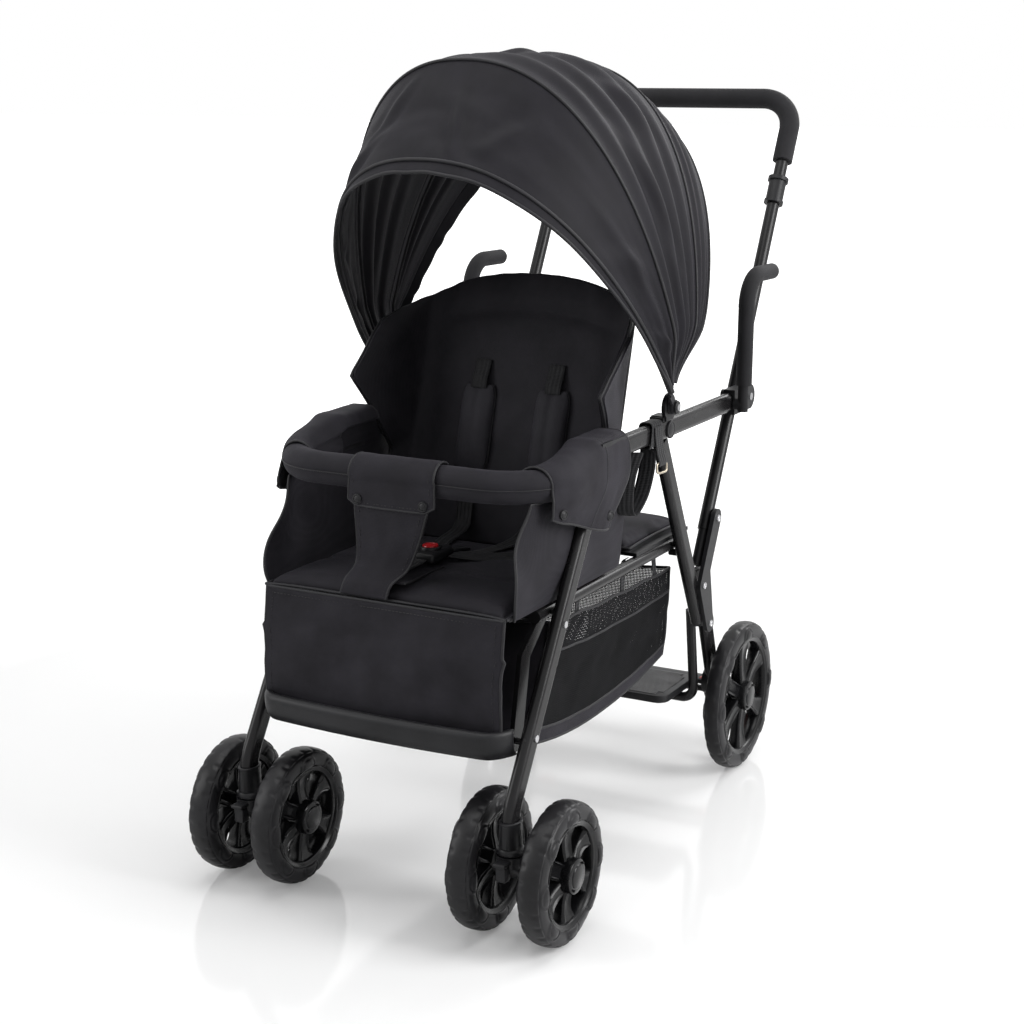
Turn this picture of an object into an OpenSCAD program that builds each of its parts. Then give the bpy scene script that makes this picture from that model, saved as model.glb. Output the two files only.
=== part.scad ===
// Tandem stroller: a canopied front seat, a rear bench and a standing platform on one folding frame.
// Millimetres. X runs across, the stroller faces -Y, and the floor is Z = 0.
// Side-view points are [y, z], with y counted from the front axle.

/* [Front wheels] */
// Diameter of a front wheel
front_wheel_d = 180; // [150:1:190]
// Width of a front tyre
front_wheel_w = 40; // [30:1:44]
// Distance between the two wheels of one caster
twin_spacing = 98; // [94:1:110]
// Gap between the seat's side and a front leg
leg_gap = 11; // [8:1:20]
// Distance of the axle behind the swivel axis
trail = 37; // [25:1:45]
// Diameter of the caster axle
caster_axle_d = 8; // [6:0.5:10]
// Diameter of the swivel stem
stem_d = 12; // [9:0.5:16]

/* [Rear wheels] */
// Diameter of a rear wheel
rear_wheel_d = 225; // [200:1:235]
// Width of a rear tyre
rear_wheel_w = 32; // [24:1:36]
// Gap between a rear wheel and its leg
rear_wheel_gap = 6; // [5:1:16]
// Distance of the rear axle behind the front one
rear_axle_y = 666; // [640:1:690]
// Diameter of the rear axle
rear_axle_d = 10; // [8:0.5:12]

/* [Tyres and rims] */
// Radial depth of a tyre
tyre_depth = 23; // [16:1:28]
// Radius of a tyre shoulder
shoulder_r = 11; // [6:0.5:13]
// Depth of the rim band
rim_band = 7; // [4:0.5:10]
// Diameter of a wheel hub
hub_d = 44; // [34:1:54]
// Number of spokes
spokes = 6; // [5:1:8]
// Width of a spoke
spoke_w = 20; // [14:1:20]

/* [Frame] */
// Width of the flat oval leg tube
tube_w = 16; // [12:1:17]
// Depth of the flat oval leg tube
tube_d = 28; // [22:1:32]
// Height of the side rail above the floor
rail_z = 574; // [540:1:600]
// Step from the front leg out to the side rail
rail_step = 11; // [10:1:15]
// Width of the side rail
rail_w = 14; // [10:1:14]
// Height of the side rail section
rail_h = 28; // [22:1:32]
// Front end of the side rail
rail_front_y = 196; // [180:1:204]
// Rear end of the side rail
rail_rear_y = 630; // [610:1:640]
// Height at which the front leg starts to lean
leg_knee_z = 172; // [165:1:190]
// Bend radius of the front leg
leg_bend_r = 60; // [40:1:80]
// Step from the front leg in to the rear strut
strut_step = 3; // [0:1:3]
// Place of the strut pivot along the side rail
strut_pivot_y = 382; // [370:1:395]
// Foot of the rear strut, from the front axle
strut_foot_y = 542; // [530:1:550]
// Height of the strut foot
strut_foot_z = 262; // [250:1:275]
// Step from the rear strut in to the rear leg
rear_leg_step = 12; // [10:1:14]
// Diameter of the lower rail
lower_rail_d = 17; // [14:0.5:18]
// Height of the lower rail
lower_rail_z = 388; // [380:1:396]
// Gap between the front leg and the lower rail
lower_rail_gap = 4.5; // [4:0.5:8.5]
// Rear end of the lower rail
lower_rail_end_y = 500; // [480:1:510]

/* [Handle] */
// Step from the rear strut in to the handle tube
handle_step = 4; // [4:1:10]
// Diameter of the handle tube
handle_d = 19; // [16:0.5:20]
// Place of the handle pivot, from the front axle
handle_pivot_y = 664; // [655:1:675]
// Lean of the handle from upright
handle_lean = 28.2; // [25:0.1:34]
// Length of the handle above its pivot
handle_up = 480; // [440:1:510]
// Length of the handle below its pivot
handle_down = 208; // [190:1:212]
// Bend radius of the handle corners
handle_bend_r = 52; // [40:1:70]
// Diameter of the handle foam
foam_d = 30; // [26:0.5:36]
// Length of foam on each side tube, below the bar
foam_side = 104; // [80:1:120]
// Diameter of the standing child's grip
grip_d = 23; // [20:0.5:26]

/* [Pivots] */
// Diameter of the fold pivot pins
pin_d = 8; // [6:0.5:10]
// Clearance round a pin
pin_clear = 0.05; // [0.02:0.01:0.1]
// Gap left between moving pieces
gap = 0.4; // [0.3:0.05:0.6]

/* [Seat] */
// Half width of the seat
seat_hw = 174; // [160:1:176]
// Height of the seat cushion's top edge
seat_z = 404; // [396:1:412]
// Thickness of the seat cushion
seat_t = 22; // [14:1:30]
// Rear end of the seat
seat_rear_y = 268; // [250:1:280]
// Lean of the backrest from upright
back_lean = 16; // [12:1:22]
// Length of the backrest
back_len = 398; // [370:1:420]
// Inset of the backrest from the seat's side
back_inset = 14; // [12:1:29]
// Depth of the backrest wings
wing_len = 150; // [80:1:150]
// Height of the footrest
foot_z = 240; // [225:1:255]
// Front edge of the footrest
foot_front_y = -44; // [-60:1:-35]
// Gap between a front leg and the footrest's hanger
foot_gap = 13; // [11:1:25]
// Thickness of the bumper bar
bumper_d = 42; // [34:1:48]
// Drop of the bumper bar's centre below the side rail
bumper_drop = 22; // [14:1:30]
// Front of the bumper bar's centre line
bumper_front_y = 34; // [20:1:50]

/* [Canopy] */
// Place of the canopy hub along the side rail
hub_y = 365; // [350:1:372]
// Height of the canopy hub
hub_z = 606; // [604:1:612]
// Flare of the front bow beyond the side rail
bow_front_flare = 13; // [5:1:29]
// Flare of the middle bow beyond the side rail
bow_mid_flare = 25; // [13:1:35]
// Flare of the rear bow beyond the side rail
bow_rear_flare = 23; // [7:1:29]
// Flare of the rear hem beyond the side rail
hem_flare = 15; // [4:1:19]
// Forward tilt of the front bow
bow_front_tilt = 40; // [36:0.5:44]
// Forward tilt of the middle bow
bow_mid_tilt = 21; // [18:0.5:23]
// Backward tilt of the rear bow
bow_rear_tilt = 14; // [12:0.5:18]
// Backward tilt of the rear hem
hem_tilt = 31; // [26:0.5:36]
// Reach of the front bow from the hub
bow_front_r = 424; // [400:1:440]
// Reach of the middle bow from the hub
bow_mid_r = 474; // [450:1:485]
// Reach of the rear bow from the hub
bow_rear_r = 450; // [440:1:475]
// Reach of the rear hem from the hub
hem_r = 438; // [425:1:460]
// Squareness of the bows, from an ellipse (2) up
bow_square = 2.3; // [2:0.05:2.6]
// Thickness of a bow along the fold
bow_t = 3.2; // [2.4:0.2:3.4]
// Width of a bow
bow_w = 4.4; // [3.6:0.2:4.6]
// Thickness of the canopy cloth
cloth_t = 2.4; // [1.5:0.1:3]

/* [Rear] */
// Inset of the bench pad from the lower rail
bench_inset = 8; // [6:1:22]
// Front edge of the bench
bench_front_y = 356; // [345:1:370]
// Depth of the bench
bench_depth = 176; // [150:1:185]
// Thickness of the bench pad
bench_t = 16; // [12:1:24]
// Inset of the basket from the lower rail
basket_inset = 6; // [5:1:22]
// Thickness of the basket cloth
basket_t = 3; // [2:0.5:5]
// Height of the standing platform
platform_z = 150; // [140:1:160]
// Gap between the platform's board and its tube
platform_gap = 11.5; // [9.5:0.5:28]
// Front edge of the standing platform
platform_front_y = 504; // [495:1:515]
// Depth of the standing platform
platform_depth = 118; // [100:1:125]
// Thickness of the standing platform
platform_t = 14; // [10:1:18]
// Diameter of the platform tube
platform_tube_d = 14; // [12:0.5:14]

/* [Hidden] */
$fn = 48;
cloth = "#1f1d22";
metal = "#3a393d";
plastic = "#17171a";
rubber = "#202022";
foam = "#1a1a1c";
steel = "#b9b9be";

front_y = -front_wheel_d / 2;
bar_y = handle_pivot_y + handle_up * sin(handle_lean);
rear_y = bar_y + foam_d / 2;
mid_y = (front_y + rear_y) / 2;

axle_z = front_wheel_d / 2;
stem_y = -trail;
rear_axle_z = rear_wheel_d / 2;

// Widths step outward and inward from the seat's side.
caster_x = seat_hw + leg_gap + tube_w / 2;
function leg_x_in() = caster_x - tube_w / 2;
rail_x = caster_x + rail_step;
strut_x = caster_x - strut_step;
rear_leg_x = strut_x - rear_leg_step;
rear_wheel_x = rear_leg_x + tube_w / 2 + rear_wheel_gap + rear_wheel_w / 2;
lower_rail_x = leg_x_in() - lower_rail_gap - lower_rail_d / 2;
handle_x = strut_x - handle_step;
back_hw = seat_hw - back_inset;
foot_hw = leg_x_in() - foot_gap;
bench_hw = lower_rail_x - bench_inset;
basket_hw = lower_rail_x - basket_inset;

// The front leg leans from its knee to the front end of the side rail.
leg_top = [rail_front_y + 14, rail_z];
leg_lean = atan2(leg_top[0] - stem_y, leg_top[1] - leg_knee_z);
leg_dir = [sin(leg_lean), cos(leg_lean)];
leg_foot_z = axle_z + 48;
leg_arc = [stem_y + leg_bend_r, leg_knee_z - leg_bend_r * tan(leg_lean / 2)];
leg_arc_end = leg_arc + leg_bend_r * [cos(180 - leg_lean), sin(180 - leg_lean)];
function leg_at(z) = [stem_y + (z - leg_knee_z) * tan(leg_lean), z];
// Tube runs lap this far into a bend, whose section is a little larger.
lap = 2;
bend_grow = 0.3;
socket_top = leg_foot_z + 16;
socket_base = axle_z + 30;
socket_d = tube_d + 8;

strut_pivot = [strut_pivot_y, rail_z];
strut_foot = [strut_foot_y, strut_foot_z];
strut_dir = (strut_foot - strut_pivot) / norm(strut_foot - strut_pivot);
strut_top = strut_pivot + 24 * strut_dir;
strut_angle = atan2(strut_dir[1], strut_dir[0]);
function strut_at(z) = [strut_pivot_y + (rail_z - z) * strut_dir[0] / -strut_dir[1], z];
strut_in = strut_x - tube_w / 2;
strut_out = strut_x + tube_w / 2;

// The rear leg runs from the knee down to the housing of the rear axle.
rear_leg_top = [strut_foot_y + 26, strut_foot_z + 66];
rear_leg_foot = [rear_axle_y - 30, rear_axle_z + 26];
rear_leg_out = rear_leg_x + tube_w / 2;

handle_pivot = [handle_pivot_y, rail_z];
handle_dir = [sin(handle_lean), cos(handle_lean)];
function handle_at(s) = handle_pivot + s * handle_dir;

rail_in = rail_x - rail_w / 2;
rail_out = rail_x + rail_w / 2;
rail_top = rail_z + rail_h / 2;
bumper_z = rail_z - bumper_drop;
lower_front_y = leg_at(lower_rail_z)[0];
lower_top = lower_rail_z + lower_rail_d / 2;

seat_under = seat_z - seat_t;
board_t = 5;
seat_front_y = -4;
back_pivot = [seat_rear_y + 24, seat_under];
back_dir = [sin(back_lean), cos(back_lean)];
bumper_hw = leg_x_in() - bumper_d / 2 + 24;
bumper_out = bumper_hw + bumper_d / 2;
elbow_front_y = rail_front_y - 32;

// The canopy's arms lie side by side on the hub's pin, the middle bow's inside the front one's.
hub_in = rail_out + gap;
hub_t = 5;
hub_disc_d = 36;
arm_t = 3.2;
arm_mid_x = hub_in + hub_t + gap;
arm_front_x = arm_mid_x + arm_t + 1;
hub_head_x = arm_front_x + arm_t + gap;
hub_out = hub_head_x + 3;
bow_start = 19;
// Each bow is [tilt, reach, half width, x at the hub].
hem = [-hem_tilt, hem_r, rail_out + hem_flare, hub_in + hub_t / 2];
bow_rear = [-bow_rear_tilt, bow_rear_r, rail_out + bow_rear_flare, hub_in + hub_t / 2];
bow_mid = [bow_mid_tilt, bow_mid_r, rail_out + bow_mid_flare, arm_mid_x + arm_t / 2];
bow_front = [bow_front_tilt, bow_front_r, rail_out + bow_front_flare, arm_front_x + arm_t / 2];

basket_front = [leg_at(foot_z)[0] + 42, foot_z - 20];
basket_top_front = [lower_front_y + 25, lower_rail_z - 23];
basket_sag = [200, foot_z - 43];
basket_rear = [strut_at(360)[0] - 12, foot_z - 20];
basket_top_rear = [strut_at(360)[0] + 3, lower_rail_z - 40];

tube_axis = [platform_front_y + platform_depth / 2 + 8, platform_z - platform_t - platform_tube_d / 2 - gap];
tube_top = [strut_foot_y + 8, strut_foot_z + 10];
tube_len = norm(tube_top - tube_axis);
tube_lean = atan2(tube_top[0] - tube_axis[0], tube_top[1] - tube_axis[1]);
platform_tube_x = strut_in - platform_tube_d / 2 - 0.5;
platform_hw = platform_tube_x - platform_tube_d / 2 - platform_gap;

// Moves the side-view origin from the front axle to the middle of the stroller's length.
module place() translate([0, -mid_y, 0]) children();

module both() {
    children();
    mirror([1, 0, 0]) children();
}

// Picks the stroller's left (+X) or right (-X) piece of a mirrored pair.
module side(s) mirror([s < 0 ? 1 : 0, 0, 0]) children();

// Draws a [y, z] outline and thickens it along X from x0.
module plate(x0, t) translate([x0, 0, 0]) rotate([90, 0, 90]) linear_extrude(t) children();

module bar_x(x0, x1, p, d) translate([x0, p[0], p[1]]) rotate([0, 90, 0]) cylinder(d = d, h = x1 - x0);

module oval(w, d) {
    square([w, d - w], center = true);
    for (s = [-1, 1]) translate([0, s * (d - w) / 2]) circle(d = w);
}

// A straight flat oval tube from a to b in the plane at x.
module run(x, a, b, w, d) {
    v = b - a;
    translate([x, a[0], a[1]])
        rotate([atan2(v[1], v[0]) - 90, 0, 0])
            linear_extrude(norm(v)) oval(w, d);
}

// A bend of the same tube about c, between two angles counted from +Y towards +Z.
module bend(x, c, r, from, to, w, d)
    translate([x, c[0], c[1]])
        rotate([90, 0, 90])
            rotate([0, 0, from])
                rotate_extrude(angle = to - from) translate([r, 0]) rotate(90) oval(w, d);

// A round tube bent into a U, standing on z = 0 with its bar at height len.
module u_tube(hw, len, r, d, from = 0) {
    for (s = [-1, 1]) {
        translate([s * hw, 0, from]) cylinder(d = d, h = len - r - from);
        translate([s * (hw - r), 0, len - r])
            rotate([90, 0, 0])
                rotate([0, 0, s > 0 ? 0 : 90])
                    rotate_extrude(angle = 90) translate([r, 0]) circle(d = d);
    }
    translate([r - hw, 0, len]) rotate([0, 90, 0]) cylinder(d = d, h = 2 * (hw - r));
}

// A round bar bent into a U that opens towards +Y, lying at z = 0 with its front at y = 0.
module u_bar(hw, len, r, d)
    rotate([-90, 0, 0]) translate([0, 0, len]) rotate([180, 0, 0]) u_tube(hw, len, r, d);

// A closed sheet between an outer and an inner surface, each a function of u and v in 0..1.
module sheet(nu, nv, outer, inner) {
    n = (nu + 1) * (nv + 1);
    function id(i, j) = i * (nv + 1) + j;
    pts = [for (f = [outer, inner]) for (i = [0:nu]) for (j = [0:nv]) f(i / nu, j / nv)];
    quads = concat(
        [for (i = [0:nu - 1]) for (j = [0:nv - 1])
            [id(i, j), id(i + 1, j), id(i + 1, j + 1), id(i, j + 1)]],
        [for (i = [0:nu - 1]) for (j = [0:nv - 1])
            [n + id(i, j), n + id(i, j + 1), n + id(i + 1, j + 1), n + id(i + 1, j)]],
        [for (i = [0:nu - 1]) [id(i + 1, 0), id(i, 0), n + id(i, 0), n + id(i + 1, 0)]],
        [for (i = [0:nu - 1]) [id(i, nv), id(i + 1, nv), n + id(i + 1, nv), n + id(i, nv)]],
        [for (j = [0:nv - 1]) [id(0, j), id(0, j + 1), n + id(0, j + 1), n + id(0, j)]],
        [for (j = [0:nv - 1]) [id(nu, j + 1), id(nu, j), n + id(nu, j), n + id(nu, j + 1)]]
    );
    faces = [for (q = quads) for (t = [[q[0], q[2], q[1]], [q[0], q[3], q[2]]]) t];
    polyhedron(pts, faces);
}

// Swell of a stuffed pad: none at its edges and one over most of its middle.
function swell(u) = pow(max(0, sin(180 * u)), 0.45);

// A pad with a crown, drawn-in sides and sewn channels across it, from z = 0 up.
module pad(x0, x1, y0, y1, t, crown, channels = 0, nu = 14, nv = 14) {
    draw = 5;
    function groove(v) = channels == 0 ? 0 : pow(abs(cos(180 * v * (channels + 1))), 12) * crown * 0.6;
    function px(u, v) = x0 + (x1 - x0) * u + draw * sin(180 * v) * (0.5 - u) * 2 * pow(abs(2 * u - 1), 6);
    function py(u, v) = y0 + (y1 - y0) * v + draw * sin(180 * u) * (0.5 - v) * 2 * pow(abs(2 * v - 1), 6);
    function rise(u, v) = t * 0.55 + (t * 0.45 + crown - groove(v)) * swell(u) * swell(v);
    function top(u, v) = [px(u, v), py(u, v), rise(u, v)];
    sheet(nu, nv, function(u, v) top(u, v), function(u, v) [px(u, v), py(u, v), 0]);
}

module leg_tube(x = caster_x, w = tube_w, d = tube_d, end = leg_at(rail_z - rail_h / 2 - 2)) {
    run(x, [stem_y, leg_foot_z], [stem_y, leg_arc[1] + lap], w, d);
    bend(x, leg_arc, leg_bend_r, 180 - leg_lean, 180, w + bend_grow, d + bend_grow);
    run(x, leg_arc_end - lap * leg_dir, end, w, d);
}

module front_leg(s) color(metal) place() side(s) leg_tube();

// The side rail carries the strut's pivot pin on its inner face.
module rail_tube(x = rail_x) run(x, [rail_front_y, rail_z], [rail_rear_y, rail_z], rail_w, rail_h);

module side_rail(s) color(metal) place() side(s) {
    tongue_in = strut_x - 3;
    rail_tube();
    bar_x(strut_x + 3 + gap, rail_in + 1, strut_pivot, pin_d * 2);
    bar_x(tongue_in - gap - 3, rail_in + 1, strut_pivot, pin_d);
    bar_x(tongue_in - gap - 3, tongue_in - gap, strut_pivot, pin_d * 1.8);
}

module leg_elbows() color(plastic) place() both() difference() {
    x0 = caster_x - tube_w / 2 - 4;
    plate(x0, rail_out + 3 - x0)
        translate([elbow_front_y, rail_z - rail_h / 2 - 20]) square([70, rail_h + 22]);
    leg_tube(end = leg_at(rail_z));
    rail_tube();
    plate(x0 - 1, rail_in - x0) translate([rail_front_y, rail_z - rail_h]) square([70, rail_h * 2]);
}

// The bracket clasps the rear end of the side rail and carries the handle's pivot pin.
module rail_brackets() color(plastic) place() both() {
    ear_in = handle_x + handle_d / 2 + gap + 0.6;
    difference() {
        plate(ear_in, rail_out + 3 - ear_in) {
            translate([rail_rear_y - 6, rail_z]) square([44, rail_h + 8], center = true);
            translate([rail_rear_y, rail_z - 18]) square([handle_pivot_y - rail_rear_y, 36]);
            translate(handle_pivot) circle(d = 36);
        }
        rail_tube();
    }
    bar_x(handle_x - handle_d / 2 - 4, ear_in + 1, handle_pivot, pin_d);
    bar_x(handle_x - handle_d / 2 - 7, handle_x - handle_d / 2 - gap, handle_pivot, pin_d * 1.8);
}

module lower_rails() color(metal) place() both() {
    translate([lower_rail_x, lower_front_y - 34, lower_rail_z])
        rotate([-90, 0, 0]) cylinder(d = lower_rail_d, h = lower_rail_end_y - lower_front_y + 34);
    bar_x(lower_rail_x, leg_x_in(), [lower_front_y, lower_rail_z], pin_d);
}

// Cross tubes under the seat, with the flat hangers that carry the footrest.
module seat_frame() color(metal) place() {
    rail_side = lower_rail_x - lower_rail_d / 2;
    for (y = [lower_front_y - 18, seat_rear_y - 20])
        bar_x(-rail_side, rail_side, [y, lower_rail_z], lower_rail_d - 2);
    both() {
        plate(foot_hw - 4, 6) polygon([
            [lower_front_y - 4, lower_rail_z - lower_rail_d / 2],
            [lower_front_y - 30, lower_rail_z - lower_rail_d / 2],
            [26, lower_rail_z - 38], [6, foot_z + 12], [6, foot_z - 10], [30, foot_z - 10],
            [30, foot_z + 8], [48, lower_rail_z - 46]
        ]);
        bar_x(foot_hw + 2, leg_x_in(), leg_at(foot_z + 6), pin_d);
        plate(foot_hw - 4, 6) translate(leg_at(foot_z + 6) - [8, 8]) square(16);
    }
}

module seat_boards() color(plastic) place() {
    translate([-seat_hw + 4, seat_front_y + 6, lower_top])
        cube([2 * seat_hw - 8, seat_rear_y - seat_front_y - 6, seat_board_top() - lower_top]);
    bench_seat_x = lower_rail_x + 3;
    translate([-bench_seat_x, bench_front_y, lower_top]) cube([2 * bench_seat_x, bench_depth, board_t]);
}

module seat_cushion() color(cloth) place()
    translate([0, 0, seat_board_top()])
        pad(-seat_hw, seat_hw, seat_front_y, seat_rear_y, seat_t, 5, 2, 14, 16);
function seat_board_top() = lower_top + (seat_under - lower_top > 2 ? seat_under - lower_top : 2);

module bench_pad() color(cloth) place()
    translate([0, 0, lower_top + board_t])
        pad(-bench_hw, bench_hw, bench_front_y, bench_front_y + bench_depth, bench_t, 6, 0, 12, 8);

// The calf panel hangs from the seat's front edge to the footrest, with slack folds.
module calf_panel() {
    top_z = seat_board_top() - 2;
    low_z = foot_z + gap;
    function fold(u, v) = 2.4 * sin(180 * v) * cos(360 * (2.2 * u + 0.6 * v));
    function y_mid(u, v) = seat_front_y - 9 - 19 * v + 10 * v * pow(2 * u - 1, 2) + fold(u, v);
    function at(u, v, s) = [
        (2 * u - 1) * (seat_hw - 1 + (foot_hw - 14 - seat_hw) * v), y_mid(u, v) + s * 4,
        top_z + (low_z - top_z) * v
    ];
    color(cloth) place() sheet(18, 10, function(u, v) at(u, v, 1), function(u, v) at(u, v, -1));
}

// The footrest is a tray with a bowed front and a raised lip.
module footrest() {
    back_y = 30;
    lip = 24;
    hw = foot_hw - 4 - gap;
    bow = 10;
    function front(x) = foot_front_y + bow * pow(x / foot_hw, 2);
    color(plastic) place() difference() {
        translate([0, 0, foot_z - 10]) linear_extrude(10 + lip) polygon(concat(
            [for (i = [-6:6]) [i / 6 * hw, front(i / 6 * hw)]],
            [[hw, back_y], [-hw, back_y]]
        ));
        translate([0, 0, foot_z]) linear_extrude(lip + 1) polygon(concat(
            [for (i = [-6:6]) [i / 6 * (hw - 6), front(i / 6 * hw) + 7]],
            [[hw - 6, back_y + 1], [6 - hw, back_y + 1]]
        ));
        translate([-foot_hw, -19, foot_z + 7]) cube([2 * foot_hw, 60, lip]);
    }
}

// The padded bar goes round in front of the child and ends at the side rails.
module bumper_bar() color(cloth) place() {
    r = 74;
    translate([0, bumper_front_y, bumper_z])
        u_bar(bumper_hw, elbow_front_y - gap - bumper_front_y, r, bumper_d);
}

module crotch_flap() {
    r = bumper_d / 2 + gap;
    low = [64, seat_board_top() + seat_t + 8];
    path = concat(
        [for (a = [-20:20:180]) [bumper_front_y, bumper_z] + r * [cos(a), sin(a)]],
        [[bumper_front_y - r + 4, bumper_z - 40], [bumper_front_y + 6, bumper_z - 84], low]
    );
    n = len(path) - 1;
    function wide(i) = i < 8 ? 62 : i < 10 ? 54 : i < 11 ? 40 : 46;
    function along(i) = path[min(n, i + 1)] - path[max(0, i - 1)];
    function out(i) = let (v = along(i)) [v[1], -v[0]] / norm(v);
    function at(u, v, t) = let (
        i = round(v * n),
        p = path[i] + t * out(i)
    ) [(2 * u - 1) * wide(i), p[0], p[1]];
    color(cloth) place() sheet(6, n, function(u, v) at(u, v, 0), function(u, v) at(u, v, 5));
}

// Cloth arm flaps fold over the ends of the bumper bar and hang beside the front legs.
module arm_flaps() {
    x0 = bumper_out + gap;
    y0 = bumper_front_y + 62;
    y1 = elbow_front_y - gap;
    top = bumper_z + bumper_d / 2 + gap + 3;
    drop = 92;
    function at(u, v, t) = [
        x0 + t + (1 + sin(540 * u)) * v, y0 + (y1 - y0 - 12 * v) * u + 6 * v, top - drop * v
    ];
    color(cloth) place() both() {
        sheet(8, 6, function(u, v) at(u, v, 0), function(u, v) at(u, v, 3));
        translate([caster_x - 12, y0 + 2, top - 3]) cube([x0 + 1 - caster_x + 12, y1 - y0 - 4, 3]);
    }
}

// Side panels of the seat bucket, from the bumper bar down to the seat.
module seat_sides() {
    low = seat_board_top() + seat_t * 0.6;
    high = bumper_z - bumper_d / 2 - gap;
    function at(u, v, t) = [
        leg_x_in() - 3 - t - 2 * sin(180 * v) * cos(400 * u),
        40 + (seat_rear_y - 58) * u + 16 * (1 - u) * v, low + 3 + (high - low - 3) * v
    ];
    color(cloth) place() both() sheet(10, 6, function(u, v) at(u, v, 8), function(u, v) at(u, v, 0));
}

// An open-topped cloth basket, hung from the lower rails by straps on their inner faces.
module basket() color(cloth) place() {
    strap_out = lower_rail_x - lower_rail_d / 2 - gap;
    difference() {
        plate(-basket_hw, 2 * basket_hw)
            polygon([basket_front, basket_sag, basket_rear, basket_top_rear, basket_top_front]);
        plate(-basket_hw + basket_t, 2 * (basket_hw - basket_t)) polygon([
            basket_front + [basket_t * 1.2, basket_t], basket_sag + [0, basket_t],
            basket_rear + [-basket_t, basket_t], basket_top_rear + [-basket_t, 10],
            basket_top_front + [basket_t, 10]
        ]);
    }
    both() for (y = [150, 205, 340, 440]) plate(strap_out - 3, 3)
        translate([y, basket_top_rear[1] - 20]) square([14, lower_top - 3 - basket_top_rear[1] + 20]);
}

module rail_strap() color(cloth) place() both() difference() {
    y0 = strut_pivot_y - 70;
    plate(rail_in - 2, rail_w + 4) translate([y0, rail_z - rail_h / 2 - 2]) square([34, rail_h + 4]);
    rail_tube();
}

// A bow b is half a squared ellipse about the hub, drawn in to the hub at its ends.
function ease(h) = let (k = min(1, max(0, (h - 28) / 90))) 1 - k * k * (3 - 2 * k);
function bow_pt(b, t, grow = 0) = let (
    s = pow(max(0, sin(t)), 2 / bow_square),
    x = (b[2] + grow) * pow(abs(cos(t)), 2 / bow_square) * sign(cos(t)),
    tuck = (b[2] - b[3]) * ease(b[1] * s) * sign(cos(t)),
    h = (b[1] + grow) * s
) [x - tuck, hub_y - h * sin(b[0]), hub_z + h * cos(b[0])];

// Angle along a bow at which it is the distance h from the hub.
function bow_angle(b, h) = asin(pow(h / b[1], bow_square / 2));

module bow(b, start = bow_start) {
    n = 30;
    m = 8;
    t0 = bow_angle(b, start);
    function along(i) = t0 + (180 - 2 * t0) * (i / n - 0.09 * sin(720 * i / n) / 2);
    function ring(i) = let (
        t = along(i),
        p = bow_pt(b, t),
        q = bow_pt(b, t + 0.2) - bow_pt(b, t - 0.2),
        v = [0, cos(b[0]), sin(b[0])],
        c = cross(q / norm(q), v)
    ) [for (k = [0:m - 1]) p + bow_t / 2 * cos(360 * k / m) * v + bow_w / 2 * sin(360 * k / m) * c];
    pts = [for (i = [0:n]) each ring(i)];
    faces = concat(
        [for (i = [0:n - 1]) for (k = [0:m - 1]) let (l = (k + 1) % m)
            each [[i * m + k, (i + 1) * m + l, i * m + l], [i * m + k, (i + 1) * m + k, (i + 1) * m + l]]],
        [for (k = [1:m - 2]) [0, k, k + 1]],
        [for (k = [1:m - 2]) [n * m, n * m + k + 1, n * m + k]]
    );
    polyhedron(pts, faces);
}

// The flat arm that carries a moving bow on the hub's pin.
module bow_arm(b, x) both() difference() {
    plate(x, arm_t) translate([hub_y, hub_z]) rotate(b[0]) {
        circle(d = 20);
        translate([-4.5, 0]) square([9, bow_start + 3]);
    }
    bar_x(x - 1, x + arm_t + 1, [hub_y, hub_z], pin_d + 2 * pin_clear);
}

// Cloth between two bows, with a hollow between them and its edges just clear of both.
module panel(b0, b1, sag, nu, nv, edge = 0.03) {
    lift = bow_w / 2 + 0.7;
    function at(u, v, t) = let (
        w = edge + v * (1 - 2 * edge),
        a = 7 + 166 * (u - 0.09 * sin(720 * u) / 2),
        dip = sag * sin(180 * w) * pow(sin(a), 2)
    ) bow_pt(b0 + (b1 - b0) * w - [0, dip, 0, 0], a, lift + t);
    sheet(nu, nv, function(u, v) at(u, v, cloth_t), function(u, v) at(u, v, 0));
}

// A hub sits on a clip on the side rail; its headed pin carries the two moving bows.
module canopy_hubs() color(plastic) place() both() {
    bar_x(hub_in, hub_in + hub_t, [hub_y, hub_z], hub_disc_d);
    bar_x(hub_in, hub_out, [hub_y, hub_z], pin_d);
    bar_x(hub_head_x, hub_out, [hub_y, hub_z], 17);
    plate(rail_in - 3, rail_w + 6) difference() {
        translate([hub_y, rail_z + 1]) square([34, rail_h + 8], center = true);
        translate([hub_y - 20, rail_z - rail_h]) square([40, rail_h + rail_h / 2]);
    }
    plate(rail_in - 3, hub_in + hub_t - rail_in + 3) translate([hub_y - 12, rail_top + 0.2]) square([24, 6]);
}

module canopy_bow_rear() color(plastic) place() bow(bow_rear, hub_disc_d / 2);
module canopy_bow_mid() color(plastic) place() {
    bow(bow_mid);
    bow_arm(bow_mid, arm_mid_x);
}
module canopy_bow_front() color(plastic) place() {
    bow(bow_front);
    bow_arm(bow_front, arm_front_x);
}
module canopy_rear_panel() color(cloth) place() panel(hem, bow_rear, 4, 30, 5);
module canopy_mid_panel() color(cloth) place() panel(bow_rear, bow_mid, 9, 30, 6);
module canopy_front_panel() color(cloth) place() panel(bow_mid, bow_front, 7, 30, 6);

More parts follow.
